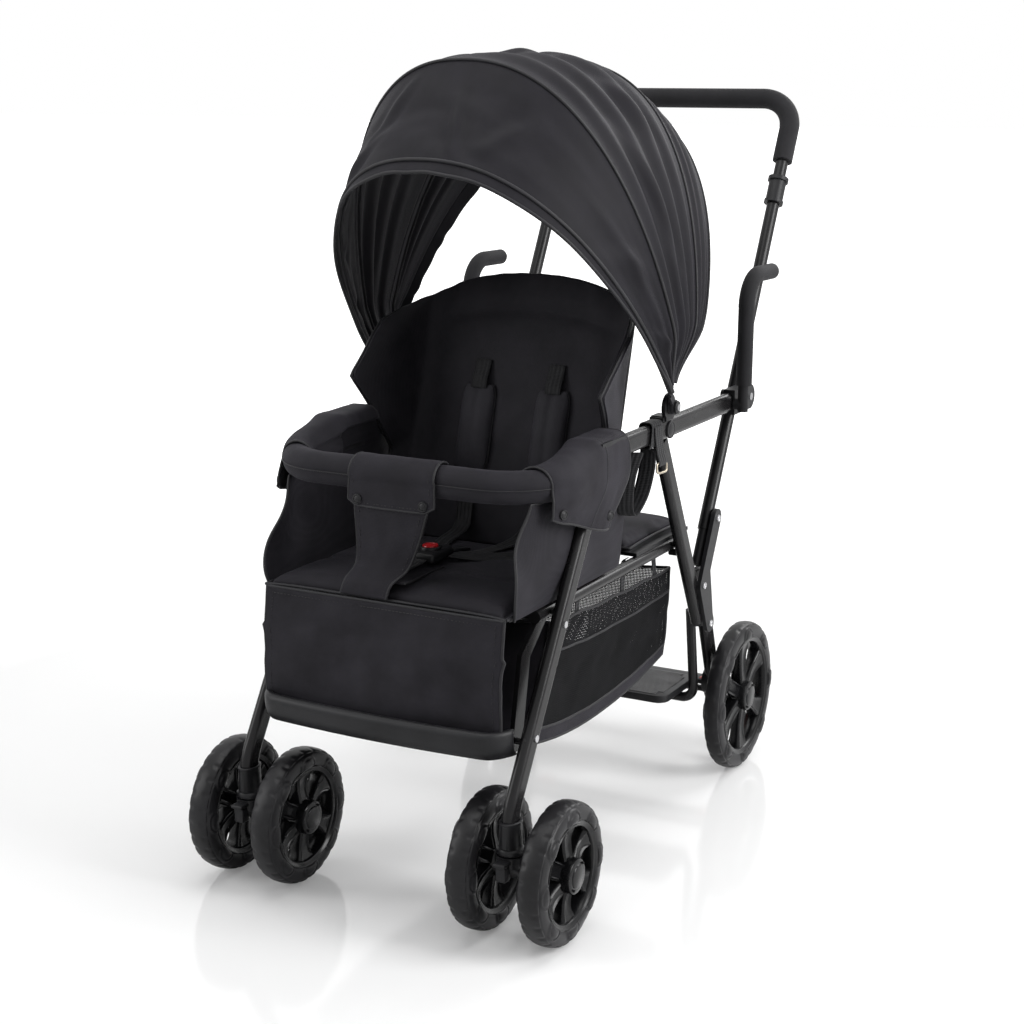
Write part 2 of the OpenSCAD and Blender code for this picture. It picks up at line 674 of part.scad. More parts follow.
// Grips for the standing child, hooked back from the rear end of the side rails.
module grips() color(foam) place() both() {
    x = rail_out + 3 + grip_d / 2 + gap;
    base = [rail_rear_y - 26, rail_z - 2];
    neck = base + [2, 28];
    rise = 112;
    r = 44;
    reach = 52;
    lean = 1;
    bar_x(rail_out + 3, x, base, 16);
    translate([x, base[0], base[1] - 10]) cylinder(d = grip_d - 8, h = 40);
    translate([x, neck[0], neck[1]]) rotate([-lean, 0, 0]) {
        cylinder(d = grip_d, h = rise + lap);
        translate([0, r, rise])
            rotate([90, 0, 90])
                rotate([0, 0, 90])
                    rotate_extrude(angle = 90) translate([r, 0]) circle(d = grip_d + bend_grow);
        translate([0, r - lap, rise + r]) rotate([-90, 0, 0]) cylinder(d = grip_d, h = reach + lap);
        translate([0, r + reach, rise + r]) rotate([-90, 0, 0]) cylinder(d1 = grip_d, d2 = grip_d - 8, h = 8);
    }
}

// The harness buckle lies on the seat, with its release button in a pocket.
buckle_w = 44;
buckle_z = seat_board_top() + seat_t + 5.3;
buckle_y = 104;
module buckle() color(plastic) place() difference() {
    translate([-buckle_w / 2, buckle_y - 30, buckle_z]) cube([buckle_w, 60, 18]);
    translate([-11 - gap, buckle_y - 11 - gap, buckle_z + 8]) cube([22 + 2 * gap, 22 + 2 * gap, 20]);
}

module buckle_button() color("#c02428") place()
    translate([-11, buckle_y - 11, buckle_z + 11]) cube([22, 22, 9]);

module caster_sockets() color(plastic) place() both() difference() {
    translate([caster_x, stem_y, socket_base]) cylinder(d = socket_d, h = socket_top - socket_base);
    translate([caster_x, stem_y, socket_base - 1]) cylinder(d = stem_d + 2 * pin_clear, h = 17.5);
    run(caster_x, [stem_y, leg_foot_z], [stem_y, socket_top + 1], tube_w, tube_d);
}

module frame_screws() color(steel) place() both() {
    for (z = [foot_z + 12, lower_rail_z - 12])
        bar_x(caster_x + tube_w / 2, caster_x + tube_w / 2 + 2, leg_at(z), 9);
    bar_x(hub_out, hub_out + 1.5, [hub_y, hub_z], 9);
    bar_x(rail_out + 3, rail_out + 5, handle_pivot, 11);
}

// The backrest hinges at the rear of the seat; its pad has wings that reach forward.
module lean_back(x = 0) translate([x, back_pivot[0], back_pivot[1]]) rotate([-back_lean, 0, 0]) children();

module backrest_board() color(plastic) place() lean_back() {
    rod = lower_rail_x - lower_rail_d / 2 - gap;
    hw = back_hw - 10;
    bar_x(-rod, rod, [0, 0], 12);
    translate([-hw, 4, 0]) cube([2 * hw, 5, back_len - 26]);
}

module backrest_pad() {
    t = 16;
    bend_u = 0.16;
    function crest(u) = back_len - 88 * pow(abs(2 * u - 1), 2.4);
    function flare(u) = max(0, abs(2 * u - 1) - (1 - 2 * bend_u)) / (2 * bend_u);
    function reach(v) =
        v < 0.42 ? 0.27 : v < 0.7 ? 0.27 + 0.73 * (v - 0.42) / 0.28 : 1 - 0.4 * (v - 0.7) / 0.3;
    function at(u, v, s) = let (
        f = flare(u),
        crown = s * (t + 5 * swell(u) * swell(v)),
        across = min(abs(2 * u - 1) / (1 - 2 * bend_u), 1) * (back_hw - 8)
    ) [
        sign(u - 0.5) * (across + f * 28 - s * f * 9),
        3.6 - f * wing_len * reach(v) - crown * (1 - 0.85 * f), 24 + (crest(u) - 24) * v
    ];
    color(cloth) place() lean_back() sheet(20, 14, function(u, v) at(u, v, 1), function(u, v) at(u, v, 0));
}

module shoulder_pads() color(cloth) place() lean_back() for (s = [-1, 1])
    translate([s * 52 - 19, -18, 120]) rotate([90, 0, 0]) pad(0, 38, 0, 120, 9, 3, 0, 6, 8);

// The push handle: one tube bent into a U, with a cross hole for its pivot on each side.
module lean_handle() translate([0, handle_pivot[0], handle_pivot[1]]) rotate([-handle_lean, 0, 0]) children();

module handle_tube() color(metal) place() difference() {
    lean_handle() u_tube(handle_x, handle_up, handle_bend_r, handle_d, -handle_down);
    for (s = [-1, 1])
        bar_x(s * handle_x - handle_d, s * handle_x + handle_d, handle_pivot, pin_d + 2 * pin_clear);
}

module handle_foam() color(foam) place() lean_handle() difference() {
    u_tube(handle_x, handle_up, handle_bend_r, foam_d, handle_up - foam_side);
    u_tube(handle_x, handle_up, handle_bend_r, handle_d, handle_up - foam_side - 1);
}

module handle_collars() color(plastic) place() lean_handle() for (s = [-1, 1]) {
    top = handle_up - foam_side - 28;
    translate([s * handle_x, 0, top]) difference() {
        union() {
            translate([0, 0, -42]) cylinder(d = handle_d + 7, h = 42);
            translate([0, 0, -6]) cylinder(d = handle_d + 12, h = 6);
            translate([0, 0, -42]) cylinder(d = handle_d + 10, h = 5);
        }
        translate([0, 0, -44]) cylinder(d = handle_d, h = 60);
    }
}

// A rear strut hangs from the side rail by a tongue and carries a peg under the lower rail.
module strut_tube() run(strut_x, strut_top, strut_foot, tube_w, tube_d);

module rear_strut(s) color(metal) place() side(s) difference() {
    peg = strut_at(lower_rail_z - lower_rail_d / 2 - gap - 5);
    union() {
        strut_tube();
        plate(strut_x - 3, 6) {
            translate(strut_pivot) circle(d = 24);
            translate(strut_pivot) rotate(strut_angle) translate([0, -12]) square([40, 24]);
        }
        bar_x(lower_rail_x - 4, strut_in + 1, peg, 10);
    }
    bar_x(strut_x - 10, strut_x + 10, strut_pivot, pin_d + 2 * pin_clear);
}

module rear_leg_tube() run(rear_leg_x, rear_leg_top, rear_leg_foot, tube_w, tube_d);
module rear_legs() color(metal) place() both() rear_leg_tube();

// Knee plates tie the strut, the rear leg and the seat of the handle's foot together.
module knee_plates() color(plastic) place() both() {
    foot = handle_at(-handle_down + 20);
    mid = strut_foot + [-14, 56];
    low = strut_foot + [14, -8];
    plate(strut_out, 6) {
        for (q = [[foot, mid], [mid, low]]) {
            v = q[1] - q[0];
            translate(q[0]) circle(d = 26);
            translate(q[1]) circle(d = 26);
            translate(q[0]) rotate(atan2(v[1], v[0])) translate([0, -13]) square([norm(v), 26]);
        }
    }
    bar_x(handle_x + handle_d / 2 + gap, strut_out + 1, foot, 20);
    difference() {
        plate(rear_leg_out, 6) polygon([
            strut_foot + [-40, 74], strut_foot + [-12, -8], strut_foot + [56, -24],
            rear_leg_top + [12, 4], rear_leg_top + [-12, 10]
        ]);
        strut_tube();
    }
}

module platform_board() color(plastic) place() {
    translate([-platform_hw, platform_front_y, platform_z - platform_t])
        cube([2 * platform_hw, platform_depth, platform_t - 2]);
    for (i = [0:8])
        translate([-platform_hw + 8, platform_front_y + 6 + i * (platform_depth - 18) / 8, platform_z - 2.5])
            cube([2 * platform_hw - 16, 6, 2.5]);
}

module platform_tube() color(metal) place() {
    translate([0, tube_axis[0], tube_axis[1]])
        rotate([-tube_lean, 0, 0])
            translate([0, 0, tube_len])
                rotate([180, 0, 0])
                    u_tube(platform_tube_x, tube_len, 20, platform_tube_d);
    both() bar_x(platform_tube_x, strut_in, tube_top + [-4, -7], 8);
}

module axle_housings() color(plastic) place() both() difference() {
    plate(rear_leg_x - tube_w / 2 - 3, tube_w + 5) {
        v = [rear_axle_y, rear_axle_z] - rear_leg_foot;
        translate([rear_axle_y, rear_axle_z]) circle(d = 34);
        translate(rear_leg_foot) circle(d = 40);
        translate(rear_leg_foot) rotate(atan2(v[1], v[0])) translate([0, -17]) square([norm(v), 34]);
    }
    rear_leg_tube();
    bar_x(0, 300, [rear_axle_y, rear_axle_z], rear_axle_d);
}

module rear_axle() color(steel) place() {
    reach = rear_wheel_x + rear_wheel_w / 2 + 1;
    bar_x(-reach, reach, [rear_axle_y, rear_axle_z], rear_axle_d);
    cap_x = rear_wheel_x + rear_wheel_w / 2 + gap;
    both() bar_x(cap_x, reach + 3, [rear_axle_y, rear_axle_z], rear_axle_d + 8);
}

// A foot lever across the rear axle that pins both wheels.
module brake_pedal() color("#b8331f") place() {
    y = rear_axle_y + 26;
    reach = rear_leg_x - tube_w / 2 - 3 - gap;
    for (s = [-1, 1]) difference() {
        plate(s * (reach - 3) - 3, 6) {
            translate([rear_axle_y, rear_axle_z]) circle(d = 26);
            translate([rear_axle_y, rear_axle_z - 10]) square([34, 20]);
        }
        bar_x(-reach - 9, reach + 9, [rear_axle_y, rear_axle_z], rear_axle_d + 2 * pin_clear);
    }
    translate([-reach, y, rear_axle_z - 4]) cube([2 * reach, 30, 8]);
}

module caster(s) color(plastic) place() side(s) {
    reach = twin_spacing / 2 + front_wheel_w / 2 + 1;
    body_w = twin_spacing - front_wheel_w - 8;
    top = socket_base - gap;
    hull() {
        translate([caster_x, stem_y, top - 14]) cylinder(d = socket_d, h = 14, $fn = 32);
        bar_x(caster_x - body_w / 2 + 4, caster_x + body_w / 2 - 4, [0, axle_z], 36);
    }
    translate([caster_x, stem_y, top - 1]) cylinder(d = stem_d, h = 17);
    bar_x(caster_x - reach, caster_x + reach, [0, axle_z], caster_axle_d);
    for (e = [-1, 1]) {
        cap_x = caster_x + e * (reach + 1 + gap);
        bar_x(cap_x - 1.6, cap_x + 1.6, [0, axle_z], caster_axle_d + 8);
    }
}

// A tyre section with round shoulders, turned round the wheel's axis.
module tyre(d, w) rotate([0, 90, 0]) rotate_extrude() {
    r = d / 2;
    inner = r - tyre_depth;
    translate([inner, -w / 2]) square([tyre_depth - shoulder_r, w]);
    translate([inner, -w / 2 + shoulder_r]) square([tyre_depth, w - 2 * shoulder_r]);
    for (s = [-1, 1]) translate([r - shoulder_r, s * (w / 2 - shoulder_r)]) circle(r = shoulder_r);
}

// A moulded rim: a band, a hub with its bore, and broad spokes between them.
module rim(d, w, bore) difference() {
    seat = d / 2 - tyre_depth;
    union() {
        rotate([0, 90, 0])
            rotate_extrude() translate([seat - rim_band, -w / 2 + 3]) square([rim_band, w - 6]);
        rotate([0, 90, 0]) cylinder(d = hub_d, h = w, center = true);
        for (i = [0:spokes - 1]) rotate([360 / spokes * i, 0, 0])
            translate([-w / 2 + 6, -spoke_w / 2, hub_d / 2 - 8])
                cube([w - 12, spoke_w, seat - rim_band - hub_d / 2 + 11]);
    }
    rotate([0, 90, 0]) cylinder(d = bore, h = w + 2, center = true);
}

// Front wheels 1 and 2 are on the left caster, 3 and 4 on the right, outer wheel first.
function wheel_x(i) = (i < 3 ? 1 : -1) * (caster_x + (i % 2 == 1 ? 1 : -1) * twin_spacing / 2);
module front_rim(i) color(plastic) place() translate([wheel_x(i), 0, axle_z])
    rim(front_wheel_d, front_wheel_w, caster_axle_d + 2 * pin_clear);
module front_tyre(i) color(rubber) place() translate([wheel_x(i), 0, axle_z])
    tyre(front_wheel_d, front_wheel_w);
module rear_rim(s) color(plastic) place() translate([s * rear_wheel_x, rear_axle_y, rear_axle_z])
    rim(rear_wheel_d, rear_wheel_w, rear_axle_d + 2 * pin_clear);
module rear_tyre(s) color(rubber) place() translate([s * rear_wheel_x, rear_axle_y, rear_axle_z])
    tyre(rear_wheel_d, rear_wheel_w);

front_leg(1);  // front_leg_left
front_leg(-1);  // front_leg_right
side_rail(1);  // side_rail_left
side_rail(-1);  // side_rail_right
leg_elbows();
rail_brackets();
lower_rails();
seat_frame();
seat_boards();
seat_cushion();
seat_sides();
calf_panel();
footrest();
bumper_bar();
crotch_flap();
arm_flaps();
basket();
bench_pad();
canopy_hubs();
canopy_bow_rear();
canopy_rear_panel();
grips();
buckle();
buckle_button();
caster_sockets();
frame_screws();
rail_strap();
backrest_board();
backrest_pad();
shoulder_pads();
canopy_bow_mid();
canopy_mid_panel();
canopy_bow_front();
canopy_front_panel();
handle_tube();
handle_foam();
handle_collars();
rear_strut(1);  // rear_strut_left
rear_strut(-1);  // rear_strut_right
rear_legs();
knee_plates();
platform_board();
platform_tube();
axle_housings();
rear_axle();
brake_pedal();
caster(1);  // caster_left
caster(-1);  // caster_right
front_rim(1);  // rim_1
front_rim(2);  // rim_2
front_rim(3);  // rim_3
front_rim(4);  // rim_4
front_tyre(1);  // tyre_1
front_tyre(2);  // tyre_2
front_tyre(3);  // tyre_3
front_tyre(4);  // tyre_4
rear_rim(1);  // rear_rim_left
rear_rim(-1);  // rear_rim_right
rear_tyre(1);  // rear_tyre_left
rear_tyre(-1);  // rear_tyre_right
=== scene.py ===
import math

import bmesh
import bpy
from mathutils import Matrix, Vector, noise


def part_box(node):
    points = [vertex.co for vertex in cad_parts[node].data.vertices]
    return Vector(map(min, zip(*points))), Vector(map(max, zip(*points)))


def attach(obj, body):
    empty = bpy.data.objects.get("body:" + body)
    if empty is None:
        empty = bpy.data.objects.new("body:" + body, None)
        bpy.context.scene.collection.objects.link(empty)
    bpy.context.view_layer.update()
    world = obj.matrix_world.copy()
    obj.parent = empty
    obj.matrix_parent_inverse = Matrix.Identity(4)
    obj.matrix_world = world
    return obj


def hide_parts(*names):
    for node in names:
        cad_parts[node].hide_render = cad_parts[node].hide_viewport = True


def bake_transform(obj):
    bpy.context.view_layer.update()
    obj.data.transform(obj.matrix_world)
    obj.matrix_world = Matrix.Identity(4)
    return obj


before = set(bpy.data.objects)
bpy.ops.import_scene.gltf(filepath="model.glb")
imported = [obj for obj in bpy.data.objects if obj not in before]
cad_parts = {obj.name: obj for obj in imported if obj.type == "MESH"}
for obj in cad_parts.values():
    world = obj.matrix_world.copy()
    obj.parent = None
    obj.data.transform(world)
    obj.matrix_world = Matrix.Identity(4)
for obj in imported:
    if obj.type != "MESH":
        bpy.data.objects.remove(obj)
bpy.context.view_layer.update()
mm = 0.001
scene = bpy.context.scene
scene.view_settings.view_transform = "Standard"
sides = [(1, "Right"), (-1, "Left")]


def nodeCentre(node):
    low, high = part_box(node)
    return (low + high) / 2


axleY = nodeCentre("tyre_1").y  # side-view lengths count from the front axle


def at(x, y, z):
    return Vector((x * mm, y * mm + axleY, z * mm))


def mix(a, b, k):
    return a + (b - a) * k


def unit(k):
    return min(1, max(0, k))


def smooth(a, b, k):
    k = unit((k - a) / (b - a))
    return k * k * (3 - 2 * k)


def wave(turns):
    return math.sin(2 * math.pi * turns)


def arch(k):
    return math.sin(math.pi * k)


def bell(k):
    return math.exp(-(k**2))


def bent(value, power):
    return math.copysign(abs(value) ** power, value)


def fuzz(x, y, z=0.0):
    return noise.noise(Vector((x, y, z)))


def onPath(points, w):
    # a smooth line through the points, w from 0 to 1 along it
    n = len(points) - 1
    k = min(n - 1, int(w * n))
    t = w * n - k
    before, start = points[max(0, k - 1)], points[k]
    end, after = points[k + 1], points[min(n, k + 2)]
    leave, arrive = (end - before) / 2, (after - start) / 2
    return (
        (2 * t**3 - 3 * t**2 + 1) * start
        + (t**3 - 2 * t**2 + t) * leave
        + (3 * t**2 - 2 * t**3) * end
        + (t**3 - t**2) * arrive
    )


def edgeOf(shape, start, end, steps):
    # points on a shape along a straight line between two places in its own coordinates
    return [shape(*[mix(a, b, k / steps) for a, b in zip(start, end)]) for k in range(steps + 1)]


def aroundOf(shape, s, across, along):
    # the outline of a pad at depth s, as one closed line
    corners = [(0, 0, s), (1, 0, s), (1, 1, s), (0, 1, s), (0, 0, s)]
    line = []
    for start, end, steps in zip(corners, corners[1:], (across, along, across, along)):
        line += edgeOf(shape, start, end, steps)[:-1]
    return line


print("frame loaded")

# finishes: every colour is broken up by noise, and grain or weave goes to roughness and bump


def startMaterial(name, specular=0.5, sheen=0.0, soft=0.5, tint=(1, 1, 1), metal=0.0):
    material = bpy.data.materials.new(name)
    material.use_nodes = True
    tree = material.node_tree
    shader = tree.nodes["Principled BSDF"]
    filled(tree, shader, {
        "Specular IOR Level": specular, "Sheen Weight": sheen, "Sheen Roughness": soft,
        "Sheen Tint": (*tint, 1), "Metallic": metal,
    })
    return material, tree, shader


def filled(tree, node, sockets, output=0):
    # set or link a node's sockets, and give back one of its outputs
    for key, value in sockets.items():
        if isinstance(value, bpy.types.NodeSocket):
            tree.links.new(value, node.inputs[key])
        else:
            node.inputs[key].default_value = value
    return node.outputs[output]


def coordsOf(tree, kind):
    return tree.nodes.new("ShaderNodeTexCoord").outputs[kind]


def noiseOn(tree, coords, scale, detail):
    node = tree.nodes.new("ShaderNodeTexNoise")
    return filled(tree, node, {"Vector": coords, "Scale": scale, "Detail": detail}, "Fac")


def bandsOn(tree, coords, period, direction):
    node = tree.nodes.new("ShaderNodeTexWave")
    node.bands_direction = direction
    return filled(tree, node, {"Vector": coords, "Scale": 2 * math.pi / (20 * period)}, "Fac")


def rampOn(tree, factor, first, dark, last, light):
    node = tree.nodes.new("ShaderNodeValToRGB")
    for element, place, colour in zip(node.color_ramp.elements, (first, last), (dark, light)):
        element.position = place
        element.color = (*colour, 1)
    return filled(tree, node, {"Fac": factor}, "Color")


def spreadOn(tree, factor, low, high):
    node = tree.nodes.new("ShaderNodeMapRange")
    return filled(tree, node, {"Value": factor, "To Min": low, "To Max": high}, "Result")


def mathOn(tree, operation, *values):
    node = tree.nodes.new("ShaderNodeMath")
    node.operation = operation
    return filled(tree, node, dict(enumerate(values)), "Value")


def dressed(tree, shader, colour, rough, height, bump, depth=0.0006):
    node = tree.nodes.new("ShaderNodeBump")
    normal = filled(tree, node, {"Height": height, "Strength": bump, "Distance": depth}, "Normal")
    filled(tree, shader, {"Base Color": colour, "Roughness": rough, "Normal": normal})


def grained(name, dark, light, rough, grain, bump, patch=14, spread=0.07, **look):
    material, tree, shader = startMaterial(name, **look)
    coords = coordsOf(tree, "Object")
    cloud = noiseOn(tree, coords, patch, 5)
    fine = noiseOn(tree, coords, grain, 3)
    colour = rampOn(tree, mathOn(tree, "MULTIPLY_ADD", fine, 0.35, cloud), 0.5, dark, 0.85, light)
    dressed(tree, shader, colour, spreadOn(tree, cloud, rough - spread, rough + spread), fine, bump)
    return material


def woven(name, dark, light, thread, rough, bump, onUv=True, spread=0.08, **look):
    material, tree, shader = startMaterial(name, **look)
    coords = coordsOf(tree, "UV" if onUv else "Object")
    warp = bandsOn(tree, coords, thread, "X")
    weft = bandsOn(tree, coords, thread, "Y" if onUv else "DIAGONAL")
    cross = mathOn(tree, "MAXIMUM", warp, weft)
    cloud = noiseOn(tree, coords, 16, 6)
    fibre = noiseOn(tree, coords, 700, 2)
    colour = rampOn(tree, mathOn(tree, "MULTIPLY_ADD", cross, 0.18, cloud), 0.45, dark, 0.85, light)
    height = mathOn(tree, "MULTIPLY_ADD", fibre, 0.5, cross)
    dressed(
        tree, shader, colour, spreadOn(tree, cloud, rough - spread, rough + spread), height, bump, 0.0005
    )
    return material


def openMesh(name, dark, light, hole, thread):
    material, tree, shader = startMaterial(name, specular=0.08)
    coords = coordsOf(tree, "UV")
    cross = mathOn(tree, "MAXIMUM", bandsOn(tree, coords, hole, "X"), bandsOn(tree, coords, hole, "Y"))
    filled(tree, shader, {"Alpha": mathOn(tree, "GREATER_THAN", cross, 1 - thread)})
    cloud = noiseOn(tree, coords, 30, 4)
    colour = rampOn(tree, cloud, 0.35, dark, 0.7, light)
    dressed(tree, shader, colour, spreadOn(tree, cloud, 0.6, 0.8), cross, 0.5)
    return material


def ribbedWeb(name, dark, light, rib, cord):
    material, tree, shader = startMaterial(name, specular=0.25, sheen=0.05)
    coords = coordsOf(tree, "UV")
    ribs = bandsOn(tree, coords, rib, "Y")
    height = mathOn(tree, "MULTIPLY_ADD", ribs, 0.6, bandsOn(tree, coords, cord, "X"))
    colour = rampOn(tree, noiseOn(tree, coords, 60, 4), 0.3, dark, 0.75, light)
    dressed(tree, shader, colour, spreadOn(tree, ribs, 0.5, 0.72), height, 0.6)
    return material


canopyCloth = woven(
    "canopy cloth", (0.008, 0.0074, 0.0098), (0.0165, 0.0155, 0.0195), 0.0011, 0.6, 0.2,
    specular=0.13, sheen=0.02, soft=0.35, tint=(0.7, 0.66, 0.8),
)
seatCloth = woven(
    "seat cloth", (0.0132, 0.0122, 0.0152), (0.0285, 0.027, 0.033), 0.0014, 0.7, 0.3,
    specular=0.14, sheen=0.04, soft=0.4, tint=(0.7, 0.66, 0.78),
)
padTint = (0.68, 0.66, 0.78)
padCloth = woven(
    "pad cloth", (0.0115, 0.0108, 0.0138), (0.024, 0.0225, 0.0275), 0.0015, 0.74, 0.3, False,
    specular=0.18, sheen=0.04, soft=0.4, tint=padTint,
)
# painted light: the backrest gets a lighter copy of the pad cloth, so the shaded inside of the seat reads lit
backLitCloth = woven(
    "backrest cloth painted lighter", (0.016, 0.0152, 0.019), (0.034, 0.032, 0.0385), 0.0015, 0.7, 0.3, False,
    specular=0.2, sheen=0.05, soft=0.4, tint=padTint,
)
# painted sheen: the shoulder pads get a lighter copy of the pad cloth, so they read as catching the light;
# the sheen socket adds real sheen on top
shoulderSheenPaintedCloth = woven(
    "shoulder pad cloth with painted sheen", (0.02, 0.019, 0.0235), (0.042, 0.040, 0.048), 0.0013, 0.66, 0.3, False,
    specular=0.22, sheen=0.07, soft=0.4, tint=padTint,
)
pipingCloth = woven(
    "piping cloth", (0.009, 0.0088, 0.010), (0.021, 0.0205, 0.024), 0.0009, 0.55, 0.25, False,
    specular=0.3, sheen=0.06, soft=0.3, tint=(0.7, 0.68, 0.76),
)
netShades = (0.006, 0.006, 0.007), (0.013, 0.013, 0.0145)
netCloth = openMesh("basket net", *netShades, 0.0034, 0.42)
closeNet = openMesh("close basket net", (0.003, 0.003, 0.0035), (0.0075, 0.0075, 0.0085), 0.0029, 0.8)
farNet = openMesh("far basket net", *netShades, 0.0023, 0.3)
webbing = ribbedWeb("harness webbing", (0.006, 0.006, 0.007), (0.015, 0.015, 0.017), 0.0018, 0.00612)
satinPaint = grained(
    "satin gunmetal paint", (0.007, 0.0067, 0.0072), (0.015, 0.0145, 0.0155), 0.26, 1400, 0.05, specular=0.22
)
mouldedPlastic = grained(
    "moulded plastic", (0.008, 0.008, 0.009), (0.018, 0.018, 0.020), 0.42, 1800, 0.14, specular=0.24
)
glossPlastic = grained(
    "gloss rim plastic", (0.004, 0.004, 0.0045), (0.008, 0.008, 0.009), 0.22, 500, 0.03, specular=0.24
)
tyreRubber = grained(
    "tyre rubber", (0.0085, 0.0083, 0.0092), (0.017, 0.0166, 0.0185), 0.36, 900, 0.12, specular=0.22
)
gripFoam = grained(
    "grip foam", (0.009, 0.0088, 0.010), (0.019, 0.0185, 0.021), 0.78, 1100, 0.5, specular=0.2, sheen=0.04
)
treadPlastic = grained("tread plastic", (0.1, 0.1, 0.102), (0.17, 0.17, 0.173), 0.5, 1600, 0.14, specular=0.3)
threadBlack = grained("sewing thread", (0.004, 0.004, 0.005), (0.010, 0.010, 0.011), 0.6, 900, 0.1)
platedSteel = grained("plated steel", (0.42, 0.42, 0.43), (0.66, 0.66, 0.68), 0.26, 800, 0.05, metal=1.0)
brassRing = grained("pale brass", (0.42, 0.37, 0.29), (0.62, 0.55, 0.44), 0.3, 600, 0.08, metal=1.0)
buttonRed = grained("button red", (0.36, 0.008, 0.012), (0.5, 0.016, 0.02), 0.32, 700, 0.05)
brakeRed = grained("brake red", (0.3, 0.022, 0.012), (0.42, 0.04, 0.02), 0.4, 700, 0.08)

nodeFinish = {
    satinPaint: "front_leg_left front_leg_right side_rail_left side_rail_right lower_rails seat_frame "
    "handle_tube rear_strut_left rear_strut_right rear_legs platform_tube rear_axle",
    mouldedPlastic: "leg_elbows rail_brackets seat_boards canopy_hubs backrest_board handle_collars "
    "knee_plates axle_housings caster_left caster_right",
    gripFoam: "handle_foam grips",
    platedSteel: "frame_screws",
    pipingCloth: "canopy_bow_rear canopy_bow_mid canopy_bow_front",
}
for finish, names in nodeFinish.items():
    for name in names.split():
        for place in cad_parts[name].material_slots:
            place.material = finish
print("finishes made")

# how a piece is put into the scene


def addPiece(name, bm, material, body, sharp=None):
    mesh = bpy.data.meshes.new(name)
    bm.to_mesh(mesh)
    bm.free()
    piece = bpy.data.objects.new(name, mesh)
    scene.collection.objects.link(piece)
    mesh.materials.append(material)
    mesh.shade_smooth()
    if sharp:
        mesh.set_sharp_from_angle(angle=math.radians(sharp))
    if body:
        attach(piece, body)
    return piece


def addPlastic(name, bm, body="chassis", sharp=40):
    return addPiece(name, bm, mouldedPlastic, body, sharp)


def faceOut(bm):
    bmesh.ops.recalc_face_normals(bm, faces=bm.faces[:])


def moveBy(bm, matrix):
    bmesh.ops.transform(bm, matrix=matrix, verts=bm.verts[:])


def bevelled(bm, edges, size, segments):
    bmesh.ops.bevel(
        bm, geom=edges, offset=size * mm, affect="EDGES", segments=segments, profile=0.5, material=-1
    )


def joinInto(target, other):
    mesh = bpy.data.meshes.new("joined")
    other.to_mesh(mesh)
    other.free()
    target.from_mesh(mesh)
    bpy.data.meshes.remove(mesh)


def addBlock(bm, shape):
    # a cube whose corners go to shape(u, v, s), and its edges
    corners = bmesh.ops.create_cube(bm, size=1)["verts"]
    for v in corners:
        v.co = shape(*[k + 0.5 for k in v.co])
    return list({e for v in corners for e in v.link_edges})


def rounded(bm, low, high, bevel):
    # a box between two corners with its edges rounded
    edges = addBlock(bm, lambda *place: Vector([mix(a, b, k) for a, b, k in zip(low, high, place)]))
    bevelled(bm, edges, bevel, 3)


def spun(bm, profile, steps, closed=False, upright=False):
    # turn a profile of distances along the axis and from it, about x or upright about z
    dots = [bm.verts.new((r * mm, 0, x * mm) if upright else (x * mm, 0, r * mm)) for x, r in profile]
    rims = [bm.edges.new(pair) for pair in zip(dots, dots[1:] + dots[:1] if closed else dots[1:])]
    bmesh.ops.spin(
        bm, geom=dots + rims, cent=(0, 0, 0), axis=(0, 0, 1) if upright else (1, 0, 0),
        angle=2 * math.pi, steps=steps, use_merge=True,
    )
    bmesh.ops.remove_doubles(bm, verts=bm.verts[:], dist=1e-5)


def subdivided(piece):
    rounding = piece.modifiers.new("rounding", "SUBSURF")
    rounding.levels = rounding.render_levels = 1
    return piece


def thickened(piece, thick, offset=0.0):
    wall = piece.modifiers.new("thickness", "SOLIDIFY")
    wall.thickness = thick * mm
    wall.offset = offset
    return subdivided(piece)


def lineLength(shape, start, end, steps=40):
    points = edgeOf(shape, start, end, steps)
    return sum((b - a).length for a, b in zip(points, points[1:]))


def gridOf(shape, cells, flat=None):
    # a grid laid on shape(u, w), with UVs in metres where its flat size is given
    bm = bmesh.new()
    bmesh.ops.create_grid(bm, x_segments=cells[0], y_segments=cells[1], size=0.5)
    if flat:
        weave = bm.loops.layers.uv.new("weave")
        for face in bm.faces:
            for loop in face.loops:
                loop[weave].uv = [(k + 0.5) * size for k, size in zip(loop.vert.co, flat)]
    for v in bm.verts:
        v.co = shape(v.co.x + 0.5, v.co.y + 0.5)
    bm.normal_update()
    return bm


def clothSheet(name, shape, cells, material, thick=1.6, body="chassis"):
    # shape(u, w) gives the cloth's place: u across it, w along it, both from 0 to 1
    width = lineLength(shape, (0, 0.5), (1, 0.5))
    bm = gridOf(shape, cells, (width, lineLength(shape, (0.5, 0), (0.5, 1))))
    area = sum(face.calc_area() for face in bm.faces)
    piece = thickened(addPiece(name, bm, material, body), thick)
    return piece


def strap(name, points, width, across, cells, body="chassis", thick=1.4):
    # flat webbing along a smooth line; across is one direction, or one for each end
    first, last = across if isinstance(across, tuple) else (across, across)

    def shape(u, w):
        side = mix(first, last, w).normalized()
        return onPath(points, w) + side * (u - 0.5) * width * mm

    return clothSheet(name, shape, (3, cells), webbing, thick, body)


